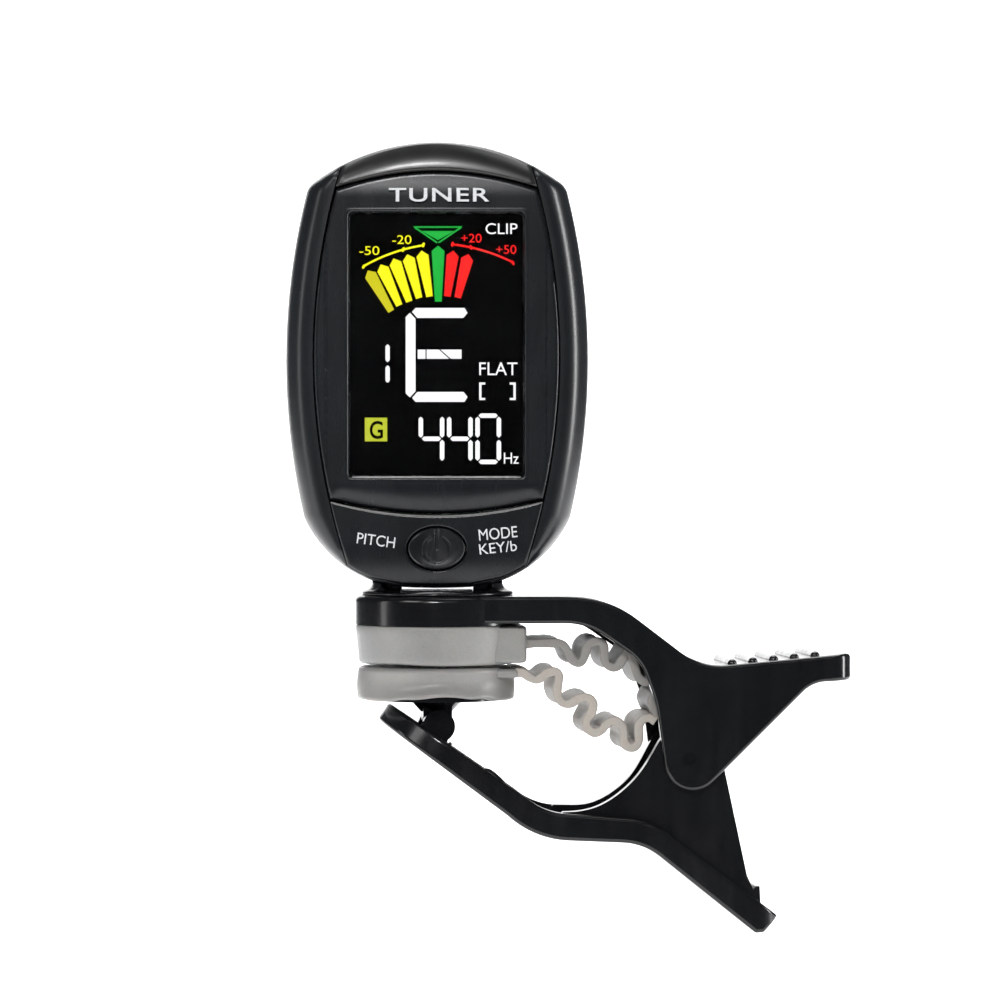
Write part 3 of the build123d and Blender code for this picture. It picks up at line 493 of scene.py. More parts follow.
# ------------------------------ front shell: two bulging wings joined by a thin rim
def front_shell():
    loop = head_outline.loop(560)
    along = np.roll(loop, -1, axis=0) - np.roll(loop, 1, axis=0)
    along /= np.linalg.norm(along, axis=1, keepdims=True)
    inward = np.column_stack([-along[:, 1], along[:, 0]])

    def inset(amount):
        return loop + inward * amount

    inner = inset(0.42)
    limit = seam(inner[:, 1])
    inner[:, 0] = np.clip(inner[:, 0], -limit, limit)
    width = np.linalg.norm(inner - loop, axis=1)
    front = -6.45 - 0.62 * ease(width, 0.5, 2.0)
    back = parting_y
    rings = [at_depth(inset(amount), back + step)
             for amount, step in ((1.2, 0.06), (0.3, 0.06), (0.14, -0.02), (0.03, -0.12), (0.0, -0.3))]
    for angle in np.linspace(0, math.pi / 2, 19)[1:]:
        across = 1 - math.cos(angle) ** 0.92
        forward = math.sin(angle) ** 0.86
        rings.append(at_depth(loop + (inner - loop) * across, back - 0.3 + (front - back + 0.3) * forward))
    towards = inner - loop
    towards /= np.linalg.norm(towards, axis=1, keepdims=True)
    rings.append(at_depth(inner + towards * 0.09, front + 0.12))
    rings.append(at_depth(inner + towards * 0.12, front + 1.72))
    rings.append(at_depth(inner + towards * 0.5, front + 1.78))
    rings.append(at_depth(inner + towards * 0.5, np.full(len(loop), -4.6)))
    return loft(rings, join=True)


make("front_shell", *front_shell(), "shell", "head", HEAD, slot="shell_black", stands_for=("front_housing",))


# ------------------------------ bezel with its window, dish and ledge
WINDOW_HALF = 10.02
WINDOW_LOW = 22.2
WINDOW_HIGH = 52.6
BROW_DROP = 0.85                  # how far the visor reaches down over the bezel
window_middle = (0.0, (WINDOW_LOW + WINDOW_HIGH) / 2)


def window_inside(outset, corner=0.6):
    half_x = WINDOW_HALF + outset - corner
    half_z = (WINDOW_HIGH - WINDOW_LOW) / 2 + outset - corner

    def inside(x, z):
        dx = np.maximum(np.abs(x) - half_x, 0)
        dz = np.maximum(np.abs(z - window_middle[1]) - half_z, 0)
        return corner - np.hypot(dx, dz)

    return inside


def bezel():
    corners = [math.atan2(sz * (WINDOW_HIGH - window_middle[1]), sx * WINDOW_HALF)
               for sx in (-1, 1) for sz in (-1, 1)]
    angles = np.arange(600) * TURN / 600
    extra = [c + d for c in corners for d in np.linspace(-0.03, 0.03, 13)]
    angles = np.sort(np.concatenate([angles, np.mod(extra, TURN)]))

    def outer(amount):
        def inside(x, z):
            return np.minimum(bezel_outline.depth(x, z), bezel_outline.upper(x) - BROW_DROP - z) - amount
        return star(inside, window_middle, angles)

    def window(amount):
        return star(window_inside(amount), window_middle, angles)

    def surface(loop):
        """Depth of the front: slightly crowned, and falling back from the window to the chin."""
        x, z = loop[:, 0], loop[:, 1]
        chin = bezel_outline.lower(x)
        t = np.clip((z - chin) / (WINDOW_LOW - 0.9 - chin), 0, 1)
        slope = 0.85 * (1 - t) ** 1.9 * ease(13.2 - np.abs(x), 0, 2.5)
        crown = 0.22 * (x / 13.6) ** 2
        top = 0.25 * ease(z, 54.5, 58.0)
        return panel_front + crown + slope + top

    edge, lip = outer(0.42), window(0.62)
    rings = [at_depth(outer(0.12), panel_back), at_depth(outer(0.0), panel_back - 0.1),
             at_depth(outer(0.0), surface(outer(0.0)) + 0.42), at_depth(outer(0.05), surface(edge) + 0.24),
             at_depth(outer(0.18), surface(edge) + 0.07)]
    for f in np.concatenate([[0], np.linspace(0.04, 0.96, 24), [1]]):
        loop = edge + (lip - edge) * f
        rings.append(at_depth(loop, surface(loop)))
    rim = surface(lip)
    rings += [at_depth(window(amount), rim + step)
              for amount, step in ((0.5, -0.03), (0.38, -0.02), (0.28, 0.08), (0.06, 0.5), (0.0, 0.62))]
    rings += [at_depth(window(0.0), panel_front + 1.3), at_depth(window(0.6), panel_back)]
    return loft(rings, join=True)


make("bezel_frame", *bezel(), "bezel", "head", HEAD, slot="shell_black",
     stands_for=("face_bezel",), crease=50)


# ------------------------------ visor over the window
def visor():
    rings = []
    for u in np.linspace(-1, 1, 97):
        x = u * 11.25
        low = float(bezel_outline.upper(x)) + 0.07 - BROW_DROP
        high = float(head_outline.upper(x * 0.985)) - 0.27
        rise = high - low
        end = 1 - ease(abs(u), 0.965, 1.0)
        face = -7.72 - 0.2 * float(end) - 0.3 * (1 - u * u)
        section = [(low, -5.4), (low, face + 0.5), (low + 0.03, face + 0.3), (low + 0.12, face + 0.12),
                   (low + 0.26, face + 0.02)]
        for t in np.linspace(0.1, 0.985, 24):
            section.append((low + rise * t, face + 1.25 * t ** 2.1))
        section += [(high, section[-1][1] + 0.25), (high, -5.4)]
        rings.append([(u * (float(seam(z)) - 0.16), y, z) for z, y in section])
    return loft(rings)


make("visor_bar", *visor(), "visor", "head", HEAD, slot="visor_black", stands_for=("top_visor",), crease=50)


# ------------------------------ rocker panel and power button
BUTTON = (0.0, 13.7)
BUTTON_A, BUTTON_B = 3.35, 2.46


def ellipse(a, b, angles):
    """Where rays from the button's middle meet an ellipse."""
    reach = 1 / np.sqrt((np.cos(angles) / a) ** 2 + (np.sin(angles) / b) ** 2)
    return np.column_stack([BUTTON[0] + np.cos(angles) * reach, BUTTON[1] + np.sin(angles) * reach])


def button_loop(grow, angles):
    """The power button's outline, grown by an amount."""
    return ellipse(BUTTON_A + grow, BUTTON_B + grow, angles)


def rocker_face(x, z):
    """Depth of the rocker's front: nearly flat, then curling under towards the head's foot."""
    return panel_front - 0.04 + 0.3 * (x / 13.6) ** 2 + 0.95 * np.clip((14.5 - z) / 5.2, 0, 1) ** 2


def rocker():
    angles = np.arange(720) * TURN / 720

    def outer(amount):
        def inside(x, z):
            sides = seam(z) - 0.14 - amount - np.abs(x)
            ledge = bezel_outline.lower(x) - 0.2 - amount - z
            return np.minimum(np.minimum(sides, ledge), head_outline.depth(x, z) - 0.5 - amount)
        return star(inside, BUTTON, angles)

    def surface(loop):
        return rocker_face(loop[:, 0], loop[:, 1])

    edge, rim = outer(0.34), button_loop(0.36, angles)
    base = surface(edge)
    rings = [at_depth(outer(0.1), -6.1)]
    for a in np.linspace(0, math.pi / 2, 9)[:-1]:
        rings.append(at_depth(outer(0.34 * (1 - math.cos(a))), base + 0.34 * (1 - math.sin(a))))
    for f in np.linspace(0, 1, 20):
        loop = edge + (rim - edge) * f
        rings.append(at_depth(loop, surface(loop)))
    hole = surface(rim)
    rings += [at_depth(button_loop(0.24, angles), hole + 0.03),
              at_depth(button_loop(0.16, angles), hole + 0.12),
              at_depth(button_loop(0.13, angles), hole + 0.3),
              at_depth(button_loop(0.13, angles), -6.1)]
    return loft(rings, join=True)


make("rocker_cap", *rocker(), "bezel", "rocker", HEAD, slot="shell_black",
     stands_for=("rocker_panel",), crease=50)


def painted_highlight_edges():
    """Fine bright beads along the rocker's upper edge and the window's lower edge: painted highlights where
    light catches these edges.
    """
    x = np.linspace(-12.3, 12.3, 60)
    z = bezel_outline.lower(x) - 0.2 - 0.1
    rocker_bead = tube(np.column_stack([x, rocker_face(x, z) + 0.06, z]), 0.1, 8)
    x = np.linspace(-9.8, 9.8, 30)
    y, z = np.full(30, panel_front + 0.12), np.full(30, WINDOW_LOW - 0.2)
    window_bead = tube(np.column_stack([x, y, z]), 0.12, 8)
    return rocker_bead, window_bead


rocker_bead, window_bead = painted_highlight_edges()
# grey beads of painted highlight along the rocker's upper edge and the window's lower edge
make("rocker_bead", *rocker_bead, "edge", "rocker", HEAD, slot="shell_black")
make("window_bead", *window_bead, "edge", "head", HEAD, slot="shell_black")


def power_cap():
    angles = np.arange(160) * TURN / 160
    top = -7.66

    def symbol(x, z):
        """Depth of the engraved stand-by sign: an open ring with a bar in its gap."""
        x, z = x - BUTTON[0], z - BUTTON[1] + 0.1
        radius = np.hypot(x, z)
        opening = np.abs(np.arctan2(x, z)) < 0.42
        ring = np.where(opening, 9.0, np.abs(radius - 1.5) - 0.15)
        bar = np.hypot(np.maximum(np.abs(x) - 0.06, 0), np.maximum(np.abs(z - 1.15) - 1.0, 0)) - 0.17
        return 0.14 * (1 - ease(np.minimum(ring, bar), -0.05, 0.08))

    rings = [at_depth(button_loop(-0.1, angles), -5.4), at_depth(button_loop(0, angles), top + 0.5),
             at_depth(button_loop(-0.02, angles), top + 0.26),
             at_depth(button_loop(-0.12, angles), top + 0.08),
             at_depth(button_loop(-0.3, angles), top)]
    for f in np.linspace(0.9, 0.02, 60):
        loop = np.asarray(BUTTON) + (button_loop(0, angles) - BUTTON) * f
        dish = 0.1 * (1 - f ** 2) ** 0.8 * ease(1 - f, 0.06, 0.4)
        rings.append(at_depth(loop, top + dish + symbol(loop[:, 0], loop[:, 1])))
    return loft(rings)


make("power_cap", *power_cap(), "button", "button", HEAD, slot="shell_black",
     stands_for=("power_button",), crease=50)


# ------------------------------ display: lit shapes on the panel behind the window
panel_face = local_box(HEAD, "lcd_module")[0][1]
LIT_FRONT = panel_face - 0.05
LIT_BACK = panel_face - 0.01


def lit(name, look, *loops):
    make(name, *merge(*[slab(loop, LIT_FRONT, LIT_BACK) for loop in loops]), look, "head", HEAD,
         slot="display_black")


def bar(start, end, width, taper=1.0, point=0.5):
    """A segment from start to end with pointed ends; taper is the end's share of the width."""
    start, end = np.asarray(start, float), np.asarray(end, float)
    along = end - start
    length = np.linalg.norm(along)
    along /= length
    side = np.array([-along[1], along[0]]) * width / 2
    tip = width * point
    return [start, start + along * tip + side, end - along * tip * taper + side * taper, end,
            end - along * tip * taper - side * taper, start + along * tip - side]


def arc_bar(start, end, rise, width):
    """A curved line of even width between two points, bowed up by rise."""
    t = np.linspace(0, 1, 16)
    start, end = np.asarray(start, float), np.asarray(end, float)
    chord = end - start
    up = np.array([-chord[1], chord[0]]) / np.linalg.norm(chord)
    line = start + t[:, None] * chord + (4 * rise * t * (1 - t))[:, None] * up
    return np.vstack([line + up * width / 2, (line - up * width / 2)[::-1]])


CAP_SHARE = 0.716                 # cap height of the built-in face, as a share of its size


def lettering(name, text, look, low_left, size, y_front, body, width, tilt=0.0, thick=0.03, space=1.0,
              bold=0.0, drape=None):
    """Plain sans lettering laid on the head; size is its cap height, and drape gives the depth under it."""
    curve = bpy.data.curves.new(name + "_curve", "FONT")
    curve.body = text
    curve.size = size / CAP_SHARE
    curve.extrude = thick / 2
    curve.offset = bold
    curve.space_character = space
    curve.resolution_u = 6
    holder = bpy.data.objects.new(name + "_holder", curve)
    bpy.context.scene.collection.objects.link(holder)
    bpy.context.view_layer.update()
    mesh = bpy.data.meshes.new_from_object(holder.evaluated_get(bpy.context.evaluated_depsgraph_get()))
    bpy.data.objects.remove(holder)
    stretch = width / max(v.co.x for v in mesh.vertices)
    flat = (Matrix.Translation((low_left[0], y_front + thick / 2, low_left[1]))
            @ Matrix.Rotation(tilt, 4, "Y") @ Matrix.Rotation(math.pi / 2, 4, "X")
            @ Matrix.Diagonal((stretch, 1, 1, 1)))
    mesh.transform(flat)
    if drape:
        for corner in mesh.vertices:
            corner.co.y += float(drape(corner.co.x, corner.co.z))
    mesh.transform(HEAD)
    mesh.materials.clear()
    mesh.materials.append(MAT[look])
    piece = bpy.data.objects.new(name, mesh)
    bpy.context.scene.collection.objects.link(piece)
    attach(piece, body)


def seven(x, z, width, height, stroke, on):
    """The lit bars of a seven-segment figure, lettered a to g, from its lower left corner."""
    gap = 0.12
    left, right = x + stroke / 2, x + width - stroke / 2
    low, middle, high = z + stroke / 2, z + height / 2, z + height - stroke / 2
    ends = {"a": ((left, high), (right, high)), "b": ((right, high), (right, middle)),
            "c": ((right, middle), (right, low)), "d": ((left, low), (right, low)),
            "e": ((left, middle), (left, low)), "f": ((left, high), (left, middle)),
            "g": ((left, middle), (right, middle))}
    out = []
    for key in on:
        a, b = np.array(ends[key][0]), np.array(ends[key][1])
        step = (b - a) / np.linalg.norm(b - a) * gap
        out.append(bar(a + step, b - step, stroke))
    return out


def pointer(top, bottom, wide=1.42, narrow=0.76):
    """One bar of the fan: pointed at the top and narrower at the bottom."""
    top, bottom = np.asarray(top, float), np.asarray(bottom, float)
    along = (top - bottom) / np.linalg.norm(top - bottom)
    side = np.array([along[1], -along[0]])
    shoulder = top - along * 0.62
    return [top, shoulder + side * wide / 2, bottom + side * narrow / 2, bottom - side * narrow / 2,
            shoulder - side * wide / 2]


# the fan has five low bars, of which the outermost is duller, the centre bar and two high bars
low_bars = [((-6.5, 46.73), (-4.33, 41.95)), ((-5.0, 47.42), (-3.17, 42.4)), ((-3.4, 47.9), (-2.03, 42.8)),
            ((-1.75, 48.33), (-0.82, 42.97))]
high_bars = [((1.95, 48.33), (1.25, 43.0)), ((3.7, 47.93), (2.45, 42.85))]
lit("display_end_bar", "dull_yellow_glow", pointer((-8.0, 46.02), (-5.27, 41.28)))
lit("display_low_bars", "yellow_glow", *[pointer(*ends) for ends in low_bars],
    arc_bar((-8.5, 46.5), (-1.5, 48.95), 0.35, 0.24), bar((-8.62, 46.2), (-8.32, 46.75), 0.3),
    bar((-4.0, 48.15), (-3.75, 48.75), 0.3), bar((-1.62, 48.68), (-1.45, 49.3), 0.3))
lit("display_centre_bar", "green_glow", pointer((0.17, 48.9), (0.2, 42.4), 1.5, 0.78),
    [(-2.7, 51.15), (3.0, 51.15), (2.8, 50.97), (-2.5, 50.97)],
    bar((-2.63, 51.08), (0.1, 49.22), 0.18), bar((2.93, 51.08), (0.2, 49.22), 0.18),
    [(-1.75, 50.6), (2.05, 50.6), (0.15, 49.55)])
lit("display_high_bars", "red_glow", *[pointer(*ends) for ends in high_bars],
    arc_bar((1.85, 49.05), (8.9, 46.95), 0.33, 0.24), bar((1.78, 48.75), (1.92, 49.38), 0.3),
    bar((4.1, 48.4), (3.9, 49.0), 0.3), bar((9.0, 46.62), (8.75, 47.2), 0.3))
lit("display_key_box", "key_glow", [(-8.35, 26.15), (-5.75, 26.15), (-5.75, 28.9), (-8.35, 28.9)])

lit("display_note", "white_glow",
    [(-3.6, 31.74), (-3.1, 31.26), (-2.45, 31.98), (-2.45, 40.4), (-3.1, 41.1), (-3.6, 40.6)],
    [(-2.85, 41.2), (-2.25, 40.5), (3.1, 40.5), (3.6, 41.08), (3.25, 41.66), (-2.45, 41.66)],
    [(-2.85, 31.2), (-2.45, 30.74), (3.25, 30.74), (3.6, 31.32), (3.12, 31.9), (-2.25, 31.9)],
    [(-2.2, 35.75), (-1.3, 35.75), (-1.3, 36.82), (-2.2, 36.82)],
    [(-1.16, 35.75), (1.46, 35.75), (0.26, 36.82), (-1.16, 36.82)],
    [(1.66, 35.75), (2.9, 35.75), (2.9, 36.82), (0.46, 36.82)])
lit("display_octave", "white_glow",
    bar((-5.7, 37.45), (-5.7, 35.35), 0.5), bar((-5.7, 35.0), (-5.7, 32.95), 0.5))
lit("display_pitch", "white_glow",
    *[stroke for x, on in ((-2.1, "fgbc"), (1.2, "fgbc"), (4.5, "abcdef"))
      for stroke in seven(x, 23.5, 3.0, 5.9, 0.52, on)])
lit("display_brackets", "white_glow",
    *[[(x, 30.95), (x + side * 0.7, 30.95), (x + side * 0.7, 31.2), (x + side * 0.27, 31.2),
       (x + side * 0.27, 32.75), (x + side * 0.7, 32.75), (x + side * 0.7, 33.0), (x, 33.0)]
      for x, side in ((4.95, 1), (9.2, -1))])
label_front = LIT_FRONT - 0.02
for label_name, words, look, spot, height, reach in (
        ("display_clip", "CLIP", "white_glow", (5.6, 50.25), 1.3, 3.8),
        ("display_flat", "FLAT", "white_glow", (4.8, 33.85), 1.55, 4.6),
        ("display_hertz", "Hz", "white_glow", (7.7, 23.55), 1.35, 1.85),
        ("display_low_50", "-50", "yellow_glow", (-9.05, 47.83), 1.05, 2.4),
        ("display_low_20", "-20", "yellow_glow", (-5.22, 49.1), 1.05, 2.3),
        ("display_high_20", "+20", "red_glow", (2.78, 49.27), 1.05, 2.45),
        ("display_high_50", "+50", "red_glow", (6.82, 47.95), 1.05, 2.45)):
    lettering(label_name, words, look, spot, height, label_front, "head", reach)
lettering("display_key", "G", "black", (-7.86, 26.5), 2.05, label_front - 0.02, "head", 1.62,
          bold=0.05)

lettering("visor_lettering", "TUNER", "print", (-5.55, 54.0), 1.6, panel_front - 0.42, "head",
          11.7, space=1.1, bold=0.025)
for label_name, words, spot, height, reach, tilt in (
        ("label_pitch", "PITCH", (-9.42, 14.35), 1.3, 4.55, 7.5),
        ("label_mode", "MODE", (4.85, 14.6), 1.35, 4.6, -5.5),
        ("label_key", "KEY/b", (4.9, 12.98), 1.25, 4.5, -6.2)):
    lettering(label_name, words, "print", spot, height, -0.035, "rocker", reach,
              math.radians(tilt), thick=0.2, drape=rocker_face)


# ------------------------------ rubber pads
def round_skin(profile, count=192):
    """Rings round the Z axis; profile(angle) gives a list of radius, height and centre shift for one side."""
    sides = np.array([profile(TURN * i / count) for i in range(count)])
    rings = []
    angle = TURN * np.arange(count) / count
    for k in range(sides.shape[1]):
        radius, height, shift = sides[:, k].T
        rings.append(np.column_stack([shift + radius * np.cos(angle), radius * np.sin(angle), height]))
    return loft(rings)


pad_low, pad_high = local_box(CLIP, "upper_pad")
shoe_low, shoe_high = local_box(CLIP, "lower_pad")
PAD_TOP = pad_high[2]
PAD_REACH = (pad_high[0] - pad_low[0]) / 2
SHOE_REACH = (shoe_high[0] - shoe_low[0]) / 2
SHOE_MIDDLE = (shoe_low[0] + shoe_high[0]) / 2


def rounded_block(low, high, corner):
    """A block with rolled edges and soft corners."""
    low, high = np.asarray(low, float), np.asarray(high, float)
    middle, half = (low + high) / 2, (high - low) / 2
    rings = []
    for t in np.linspace(-1, 1, 25):
        z = middle[2] + half[2] * math.copysign(1 - (1 - abs(t)) ** 1.6, t)
        into_corner = max(0.0, (abs(z - middle[2]) - half[2] + corner) / corner)
        cut = corner * (1 - math.sqrt(max(0.0, 1 - into_corner ** 2)))
        ring = []
        for i in range(64):
            a = TURN * i / 64
            c, s = math.cos(a), math.sin(a)
            x = math.copysign(abs(c) ** 0.28, c) * (half[0] - cut)
            y = math.copysign(abs(s) ** 0.28, s) * (half[1] - cut)
            ring.append((middle[0] + x, middle[1] + y, z))
        rings.append(ring)
    return loft(rings)


# ------------------------------ flared collar at the foot of the yoke's ears
def yoke_collar():
    section = [(7.2, 8.3), (8.8, 8.2), (8.88, 8.3), (8.86, 8.45), (8.7, 8.58), (8.42, 8.66), (8.12, 8.8),
               (7.9, 9.0), (7.74, 9.25), (7.66, 9.5), (7.2, 9.5)]
    wings = []
    for side in (0, math.pi):
        rings = []
        for a in np.linspace(-0.66, 0.66, 49):
            end = ease(0.66 - abs(a), 0, 0.12)
            height = 0.3 + 0.7 * end
            rings.append([(radius * math.cos(side + a), radius * math.sin(side + a), 8.3 + (z - 8.3) * height)
                          for radius, z in section])
        wings.append(loft(rings))
    return merge(*wings, rounded_block((-4.2, -7.9, 8.5), (4.2, -7.0, 8.96), 0.15))


make("yoke_collar", *yoke_collar(), "yoke", "yoke", HEAD, slot="clip_black", crease=60)


def upper_pad():
    def profile(angle):
        front = max(0.0, -math.sin(angle)) ** 2
        sag = 0.3 * math.exp(-((math.cos(angle) + 0.75) / 0.35) ** 2) * front
        low = pad_low[2] + 0.04 + sag
        wobble = 0.05 * math.sin(3 * angle + 0.6) + 0.03 * math.sin(7 * angle)
        reach = PAD_REACH - 0.02
        foot = reach - 0.4 + wobble
        return [(6.0, low + 0.05, 0), (foot - 1.4, low + 0.02, 0), (foot - 0.7, low, 0),
                (foot - 0.32, low + 0.05, 0), (foot - 0.1, low + 0.18, 0), (foot, low + 0.42, 0),
                (foot + 0.04, low + 0.9, 0), (reach - 0.28 + wobble * 0.5, 1.9, 0),
                (reach - 0.16, 2.9, 0), (reach - 0.08, 3.7, 0), (reach - 0.04, PAD_TOP - 0.35, 0),
                (reach - 0.1, PAD_TOP - 0.12, 0), (reach - 0.3, PAD_TOP - 0.02, 0),
                (7.0, PAD_TOP - 0.02, 0)]
    root = rounded_block((5.5, -6.9, 0.3), (10.12, 6.9, 4.6), 0.45)
    return merge(round_skin(profile), root)


make("upper_grip_pad", *upper_pad(), "pad", "upper_arm", slot="rubber_grey",
     stands_for=("upper_pad",), crease=60)


def lower_pad():
    top = shoe_high[2]

    def profile(angle):
        side = math.sin(angle) ** 2
        lift = 0.62 * math.exp(-((math.cos(angle) - 0.05) / 0.42) ** 2) * max(0.0, -math.sin(angle))
        wave = 0.13 * math.sin(6 * angle + 1.0) + 0.07 * math.sin(11 * angle)
        low = shoe_low[2] + 0.03 + lift + max(0.0, wave)
        pinch = 0.75 * side - 0.12 * (1 - side)
        reach = SHOE_REACH - 0.16 * (1 - side) - 0.03
        out = []
        for t in np.linspace(0, 1, 15):
            z = top - 0.42 + (low + 0.32 - top + 0.42) * t
            out.append((reach - 0.1 - pinch * math.sin(math.pi * t) ** 1.2 + 0.1 * t, z, SHOE_MIDDLE))
        head = [(6.5, top, SHOE_MIDDLE), (reach - 0.9, top, SHOE_MIDDLE),
                (reach - 0.42, top - 0.06, SHOE_MIDDLE), (reach - 0.2, top - 0.2, SHOE_MIDDLE)]
        foot = [(reach - 0.06, low + 0.12, SHOE_MIDDLE), (reach - 0.3, low + 0.02, SHOE_MIDDLE),
                (8.3, low + 0.02, SHOE_MIDDLE), (8.22, low + 0.5, SHOE_MIDDLE), (8.22, -2.4, SHOE_MIDDLE)]
        return head + out + foot
    flap = rounded_block((6.0, -6.3, -1.5), (9.15, 6.3, -0.45), 0.45)
    return merge(round_skin(profile), flap)


make("lower_grip_pad", *lower_pad(), "shoe_pad", "shoe", slot="rubber_grey",
     stands_for=("lower_pad",), crease=60)


# ------------------------------ corrugated rubber strap
STRAP_THICK = 1.0
STRAP_FLARE = 0.05                   # how much thicker the band is at its long edges
STRAP_HALF = (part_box("strap_upper")[1].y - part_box("strap_upper")[0].y) / 2 / MM


def ribbon(points):
    """A strap with rounded long edges along a line in X and Z; its folds lean a little across its width."""
    line = smooth_line(points, 12)
    ahead = np.gradient(line, axis=0)
    ahead /= np.linalg.norm(ahead, axis=1, keepdims=True)
    across = np.column_stack([-ahead[:, 1], ahead[:, 0]])
    run = np.concatenate([[0], np.cumsum(np.linalg.norm(np.diff(line, axis=0), axis=1))])
    # half of the cross-section: a flat band with small rounded corners
    corner = 0.24
    edge = [(STRAP_HALF - corner + corner * math.cos(a), STRAP_THICK / 2 - corner + corner * math.sin(a))
            for a in np.linspace(0, math.pi / 2, 6)]
    flat_part = np.linspace(STRAP_HALF - corner, corner - STRAP_HALF, 9)[1:-1]
    top = edge + [(y, STRAP_THICK / 2) for y in flat_part]
    top += [(-y, off) for y, off in edge[::-1]]
    section = top + [(-y, -off) for y, off in top]
    rings = []
    for i in range(len(line)):
        grow = 1 + 0.06 * math.sin(run[i] * 1.9) + 0.03 * math.sin(run[i] * 4.3 + 1)
        ring = []
        for y, off in section:
            lean = 0.16 * math.sin(run[i] * 0.9) * (1 - (y / STRAP_HALF) ** 2)
            step = off * grow * (1 + STRAP_FLARE * (y / STRAP_HALF) ** 4) + lean
            ring.append((line[i, 0] + across[i, 0] * step, y, line[i, 1] + across[i, 1] * step))
        rings.append(ring)
    return loft(rings)


UPPER_FOLDS = [
    (8.7, 2.5), (10.0, 2.5), (12.9, 2.6), (14.05, 2.5), (14.65, 1.95), (15.1, 1.1), (15.45, 0.55),
    (16.0, 0.25), (16.5, 0.4), (16.85, 1.05), (17.1, 2.0), (17.5, 2.55), (18.15, 2.8), (18.8, 2.65),
    (19.1, 2.15), (19.15, 1.25), (19.25, 0.45), (19.55, -0.05), (20.2, -0.3), (20.8, -0.1), (21.25, 0.6),
    (21.6, 1.25), (22.0, 1.8), (22.4, 1.2), (22.7, 0.0), (22.9, -0.8), (23.2, -1.5), (23.9, -1.95),
    (24.8, -1.8), (25.5, -2.4), (25.6, -3.0), (25.0, -3.6), (24.75, -4.4), (25.0, -5.3), (25.6, -5.9),
]
LOWER_FOLDS = [
    (8.7, -0.85), (9.75, -0.95), (10.35, -1.4), (11.1, -1.7), (11.75, -1.45), (12.3, -1.0), (12.9, -0.75),
    (13.55, -0.8), (13.85, -1.3), (13.75, -2.1), (13.6, -2.85), (13.7, -3.6), (14.05, -4.25),
    (14.7, -4.55), (15.35, -4.4), (16.1, -3.95), (16.85, -3.75), (17.5, -3.95), (17.85, -4.65),
    (17.65, -5.55), (17.25, -6.15), (17.0, -6.8), (17.25, -7.5), (18.0, -7.9), (18.8, -7.65),
    (19.3, -7.05), (20.0, -6.6), (20.7, -6.65), (21.25, -7.2), (21.45, -8.1), (21.45, -8.95),
    (21.95, -9.6), (22.75, -9.6), (23.2, -8.95), (23.2, -7.95), (23.25, -7.05), (23.75, -6.4),
    (24.5, -6.25), (25.15, -6.65),
]
# the upper run takes the darker copy of the strap rubber: painted shade
upper_strap = make("strap_upper_run", *ribbon(UPPER_FOLDS), "strap_dark", slot="rubber_grey",
                   stands_for=("strap_upper",), crease=70)
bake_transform(upper_strap)
lower_strap = make("strap_lower_run", *ribbon(LOWER_FOLDS), "strap", slot="rubber_grey",
                   stands_for=("strap_lower",), crease=70)
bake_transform(lower_strap)


# ------------------------------ torsion spring
pivot = Vector(JOINTS["clip_hinge"]["pos_m"]) / MM
COIL, WIRE = 2.35, 0.45


def between(start, end, shares):
    """Places on the straight line from start to end, at shares of its length."""
    start, end = np.array(start), np.array(end)
    return [tuple(start + (end - start) * t) for t in shares]


def coil(first, last, leg_start, leg_end):
    """Turns of wire round the pivot from one angle to another, with straight legs at both ends."""
    turns = []
    for t in np.linspace(0, 1, 190):
        a = first + (last - first) * t
        turns.append((pivot.x + COIL * math.cos(a), -3.9 + 7.8 * t, pivot.z + COIL * math.sin(a)))
    lead = [leg_start] + between(leg_start, turns[0], (0.3, 0.6, 0.85))
    tail = between(turns[-1], leg_end, (0.15, 0.4, 0.7)) + [leg_end]
    return np.array(lead + turns + tail)


spring_line = coil(math.radians(60), math.radians(60 + 360 * 7.2), (37.6, -3.9, -3.4), (37.6, 3.9, -3.4))
make("spring_coil", *tube(spring_line, WIRE), "spring", "upper_arm", slot="spring_steel",
     stands_for=("torsion_spring",), crease=70)
leg = smooth_line([(29.6, -13.35), (31.4, -17.0), (33.9, -22.0), (36.1, -26.4), (36.9, -27.4)], 8)
make("spring_leg", *merge(*[tube(np.column_stack([leg[:, 0], np.full(len(leg), y), leg[:, 1]]), WIRE)
                            for y in (-4.2, 4.2)]), "spring", "lower_arm", slot="spring_steel", crease=70)


# ------------------------------ small moulded details on the lower arm
rim = smooth_line([(4.9, -7.9, -12.1), (5.5, -7.9, -12.25), (6.4, -7.9, -12.95), (7.2, -7.9, -13.75)], 8)
nub = tube([(0.9, -7.7, -9.35), (0.9, -7.7, -9.0), (0.93, -7.7, -8.8)], 0.26)
make("rim_catch", *merge(tube(rim, 0.3), nub), "clip", "lower_arm", slot="clip_black", crease=50)


# ------------------------------ floor, light and camera
FLOOR = cad_low.z - 0.03             # well below the clip, so that its glow keeps off the black plastic
SHEET_HALF = 0.5


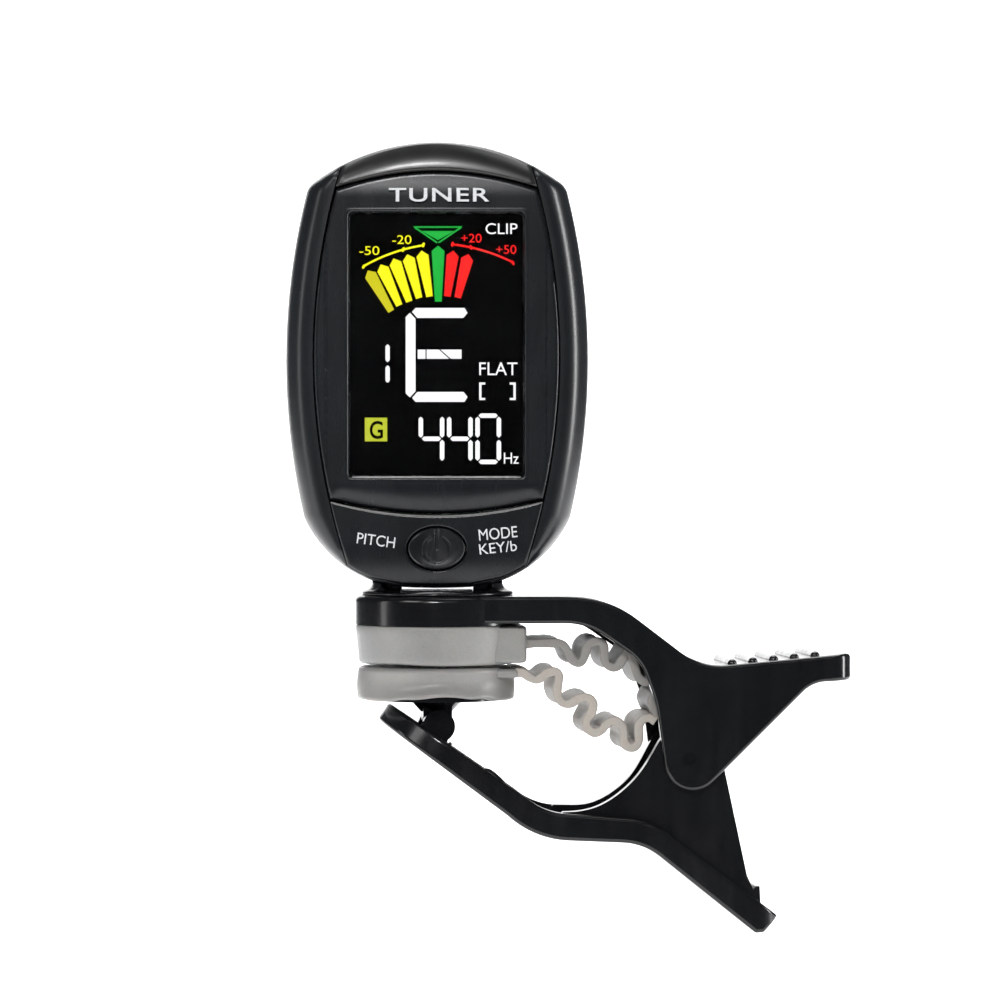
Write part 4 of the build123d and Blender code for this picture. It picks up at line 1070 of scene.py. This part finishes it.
def stage_sheet():
    """A pale studio sweep: floor in front, curving up behind."""
    profile = [(-0.16, 0.0), (0.9, 0.0), (1.2, 0.02), (1.45, 0.1), (1.6, 0.28), (1.66, 0.5), (1.68, 2.4)]
    line = smooth_line(profile, 8)
    verts, faces = [], []
    for y, z in line:
        verts += [(-SHEET_HALF, y, FLOOR + z), (SHEET_HALF, y, FLOOR + z)]
    for i in range(len(line) - 1):
        faces.append((2 * i, 2 * i + 1, 2 * i + 3, 2 * i + 2))
    mesh = bpy.data.meshes.new("studio_sweep")
    mesh.from_pydata(verts, [], faces)
    mesh.polygons.foreach_set("use_smooth", [True] * len(mesh.polygons))
    s = Shader("sweep_paper", Roughness=0.85, Specular_IOR_Level=0.1, Emission_Strength=0.8)
    paper = s.noise(18, 3)
    tone = s.ramp(paper, (0.3, (0.93, 0.93, 0.93, 1)), (0.7, (0.95, 0.95, 0.95, 1)))
    s.to("Base Color", tone)
    s.to("Emission Color", tone)
    mesh.materials.append(s.material)
    sweep = bpy.data.objects.new("studio_sweep", mesh)
    bpy.context.scene.collection.objects.link(sweep)


def area_light(name, power, size, location, target=(0.006, 0, 0.022)):
    """A soft rectangular lamp that faces its target."""
    data = bpy.data.lights.new(name, "AREA")
    data.shape = "RECTANGLE"
    data.size, data.size_y = size
    data.energy = power
    lamp = bpy.data.objects.new(name, data)
    lamp.location = location
    lamp.rotation_mode = "QUATERNION"
    lamp.rotation_quaternion = (Vector(location) - Vector(target)).to_track_quat("Z", "Y")
    bpy.context.scene.collection.objects.link(lamp)


stage_sheet()
area_light("key_left", 4.2, (0.5, 0.5), (-0.75, -0.75, 0.75))
area_light("strip_right", 5.0, (0.14, 0.6), (0.8, -0.11, 0.12))
area_light("strip_left", 0.9, (0.14, 0.6), (-0.8, -0.08, 0.05))
area_light("top_bank", 2.6, (0.8, 0.5), (0.1, 0.1, 0.95))
area_light("front_fill", 0.5, (0.5, 0.3), (0.3, -1.2, 0.75))
area_light("brow_light", 5.5, (0.16, 0.13), (-0.15, -0.93, 0.45))
area_light("sweep_light", 30.0, (1.6, 0.6), (0.0, 0.6, 1.7), target=(0.0, 1.4, 0.0))

world = bpy.data.worlds.new("studio")
world.use_nodes = True
world.node_tree.nodes["Background"].inputs["Color"].default_value = (0.8, 0.86, 0.95, 1)
world.node_tree.nodes["Background"].inputs["Strength"].default_value = 0.1
bpy.context.scene.world = world
bpy.context.scene.view_settings.view_transform = "Standard"

CAMERA_REACH = 0.65
SENSOR_WIDTH = 36.0
FRAMES_PER_METRE = 8.5               # the picture is this part of a metre wide at the clip
camera_target = Vector((0.0074, 0.0, 0.0192))
azimuth, elevation = math.atan2(tilt_axis.y, tilt_axis.x), math.radians(1.0)
back = Vector((math.sin(azimuth) * math.cos(elevation), -math.cos(azimuth) * math.cos(elevation),
               math.sin(elevation)))
camera_data = bpy.data.cameras.new("camera")
camera_data.sensor_width = SENSOR_WIDTH
camera_data.lens = SENSOR_WIDTH * FRAMES_PER_METRE * CAMERA_REACH
camera = bpy.data.objects.new("camera", camera_data)
camera.location = camera_target + back * CAMERA_REACH
camera.rotation_mode = "QUATERNION"
camera.rotation_quaternion = back.to_track_quat("Z", "Y")
bpy.context.scene.collection.objects.link(camera)
bpy.context.scene.camera = camera
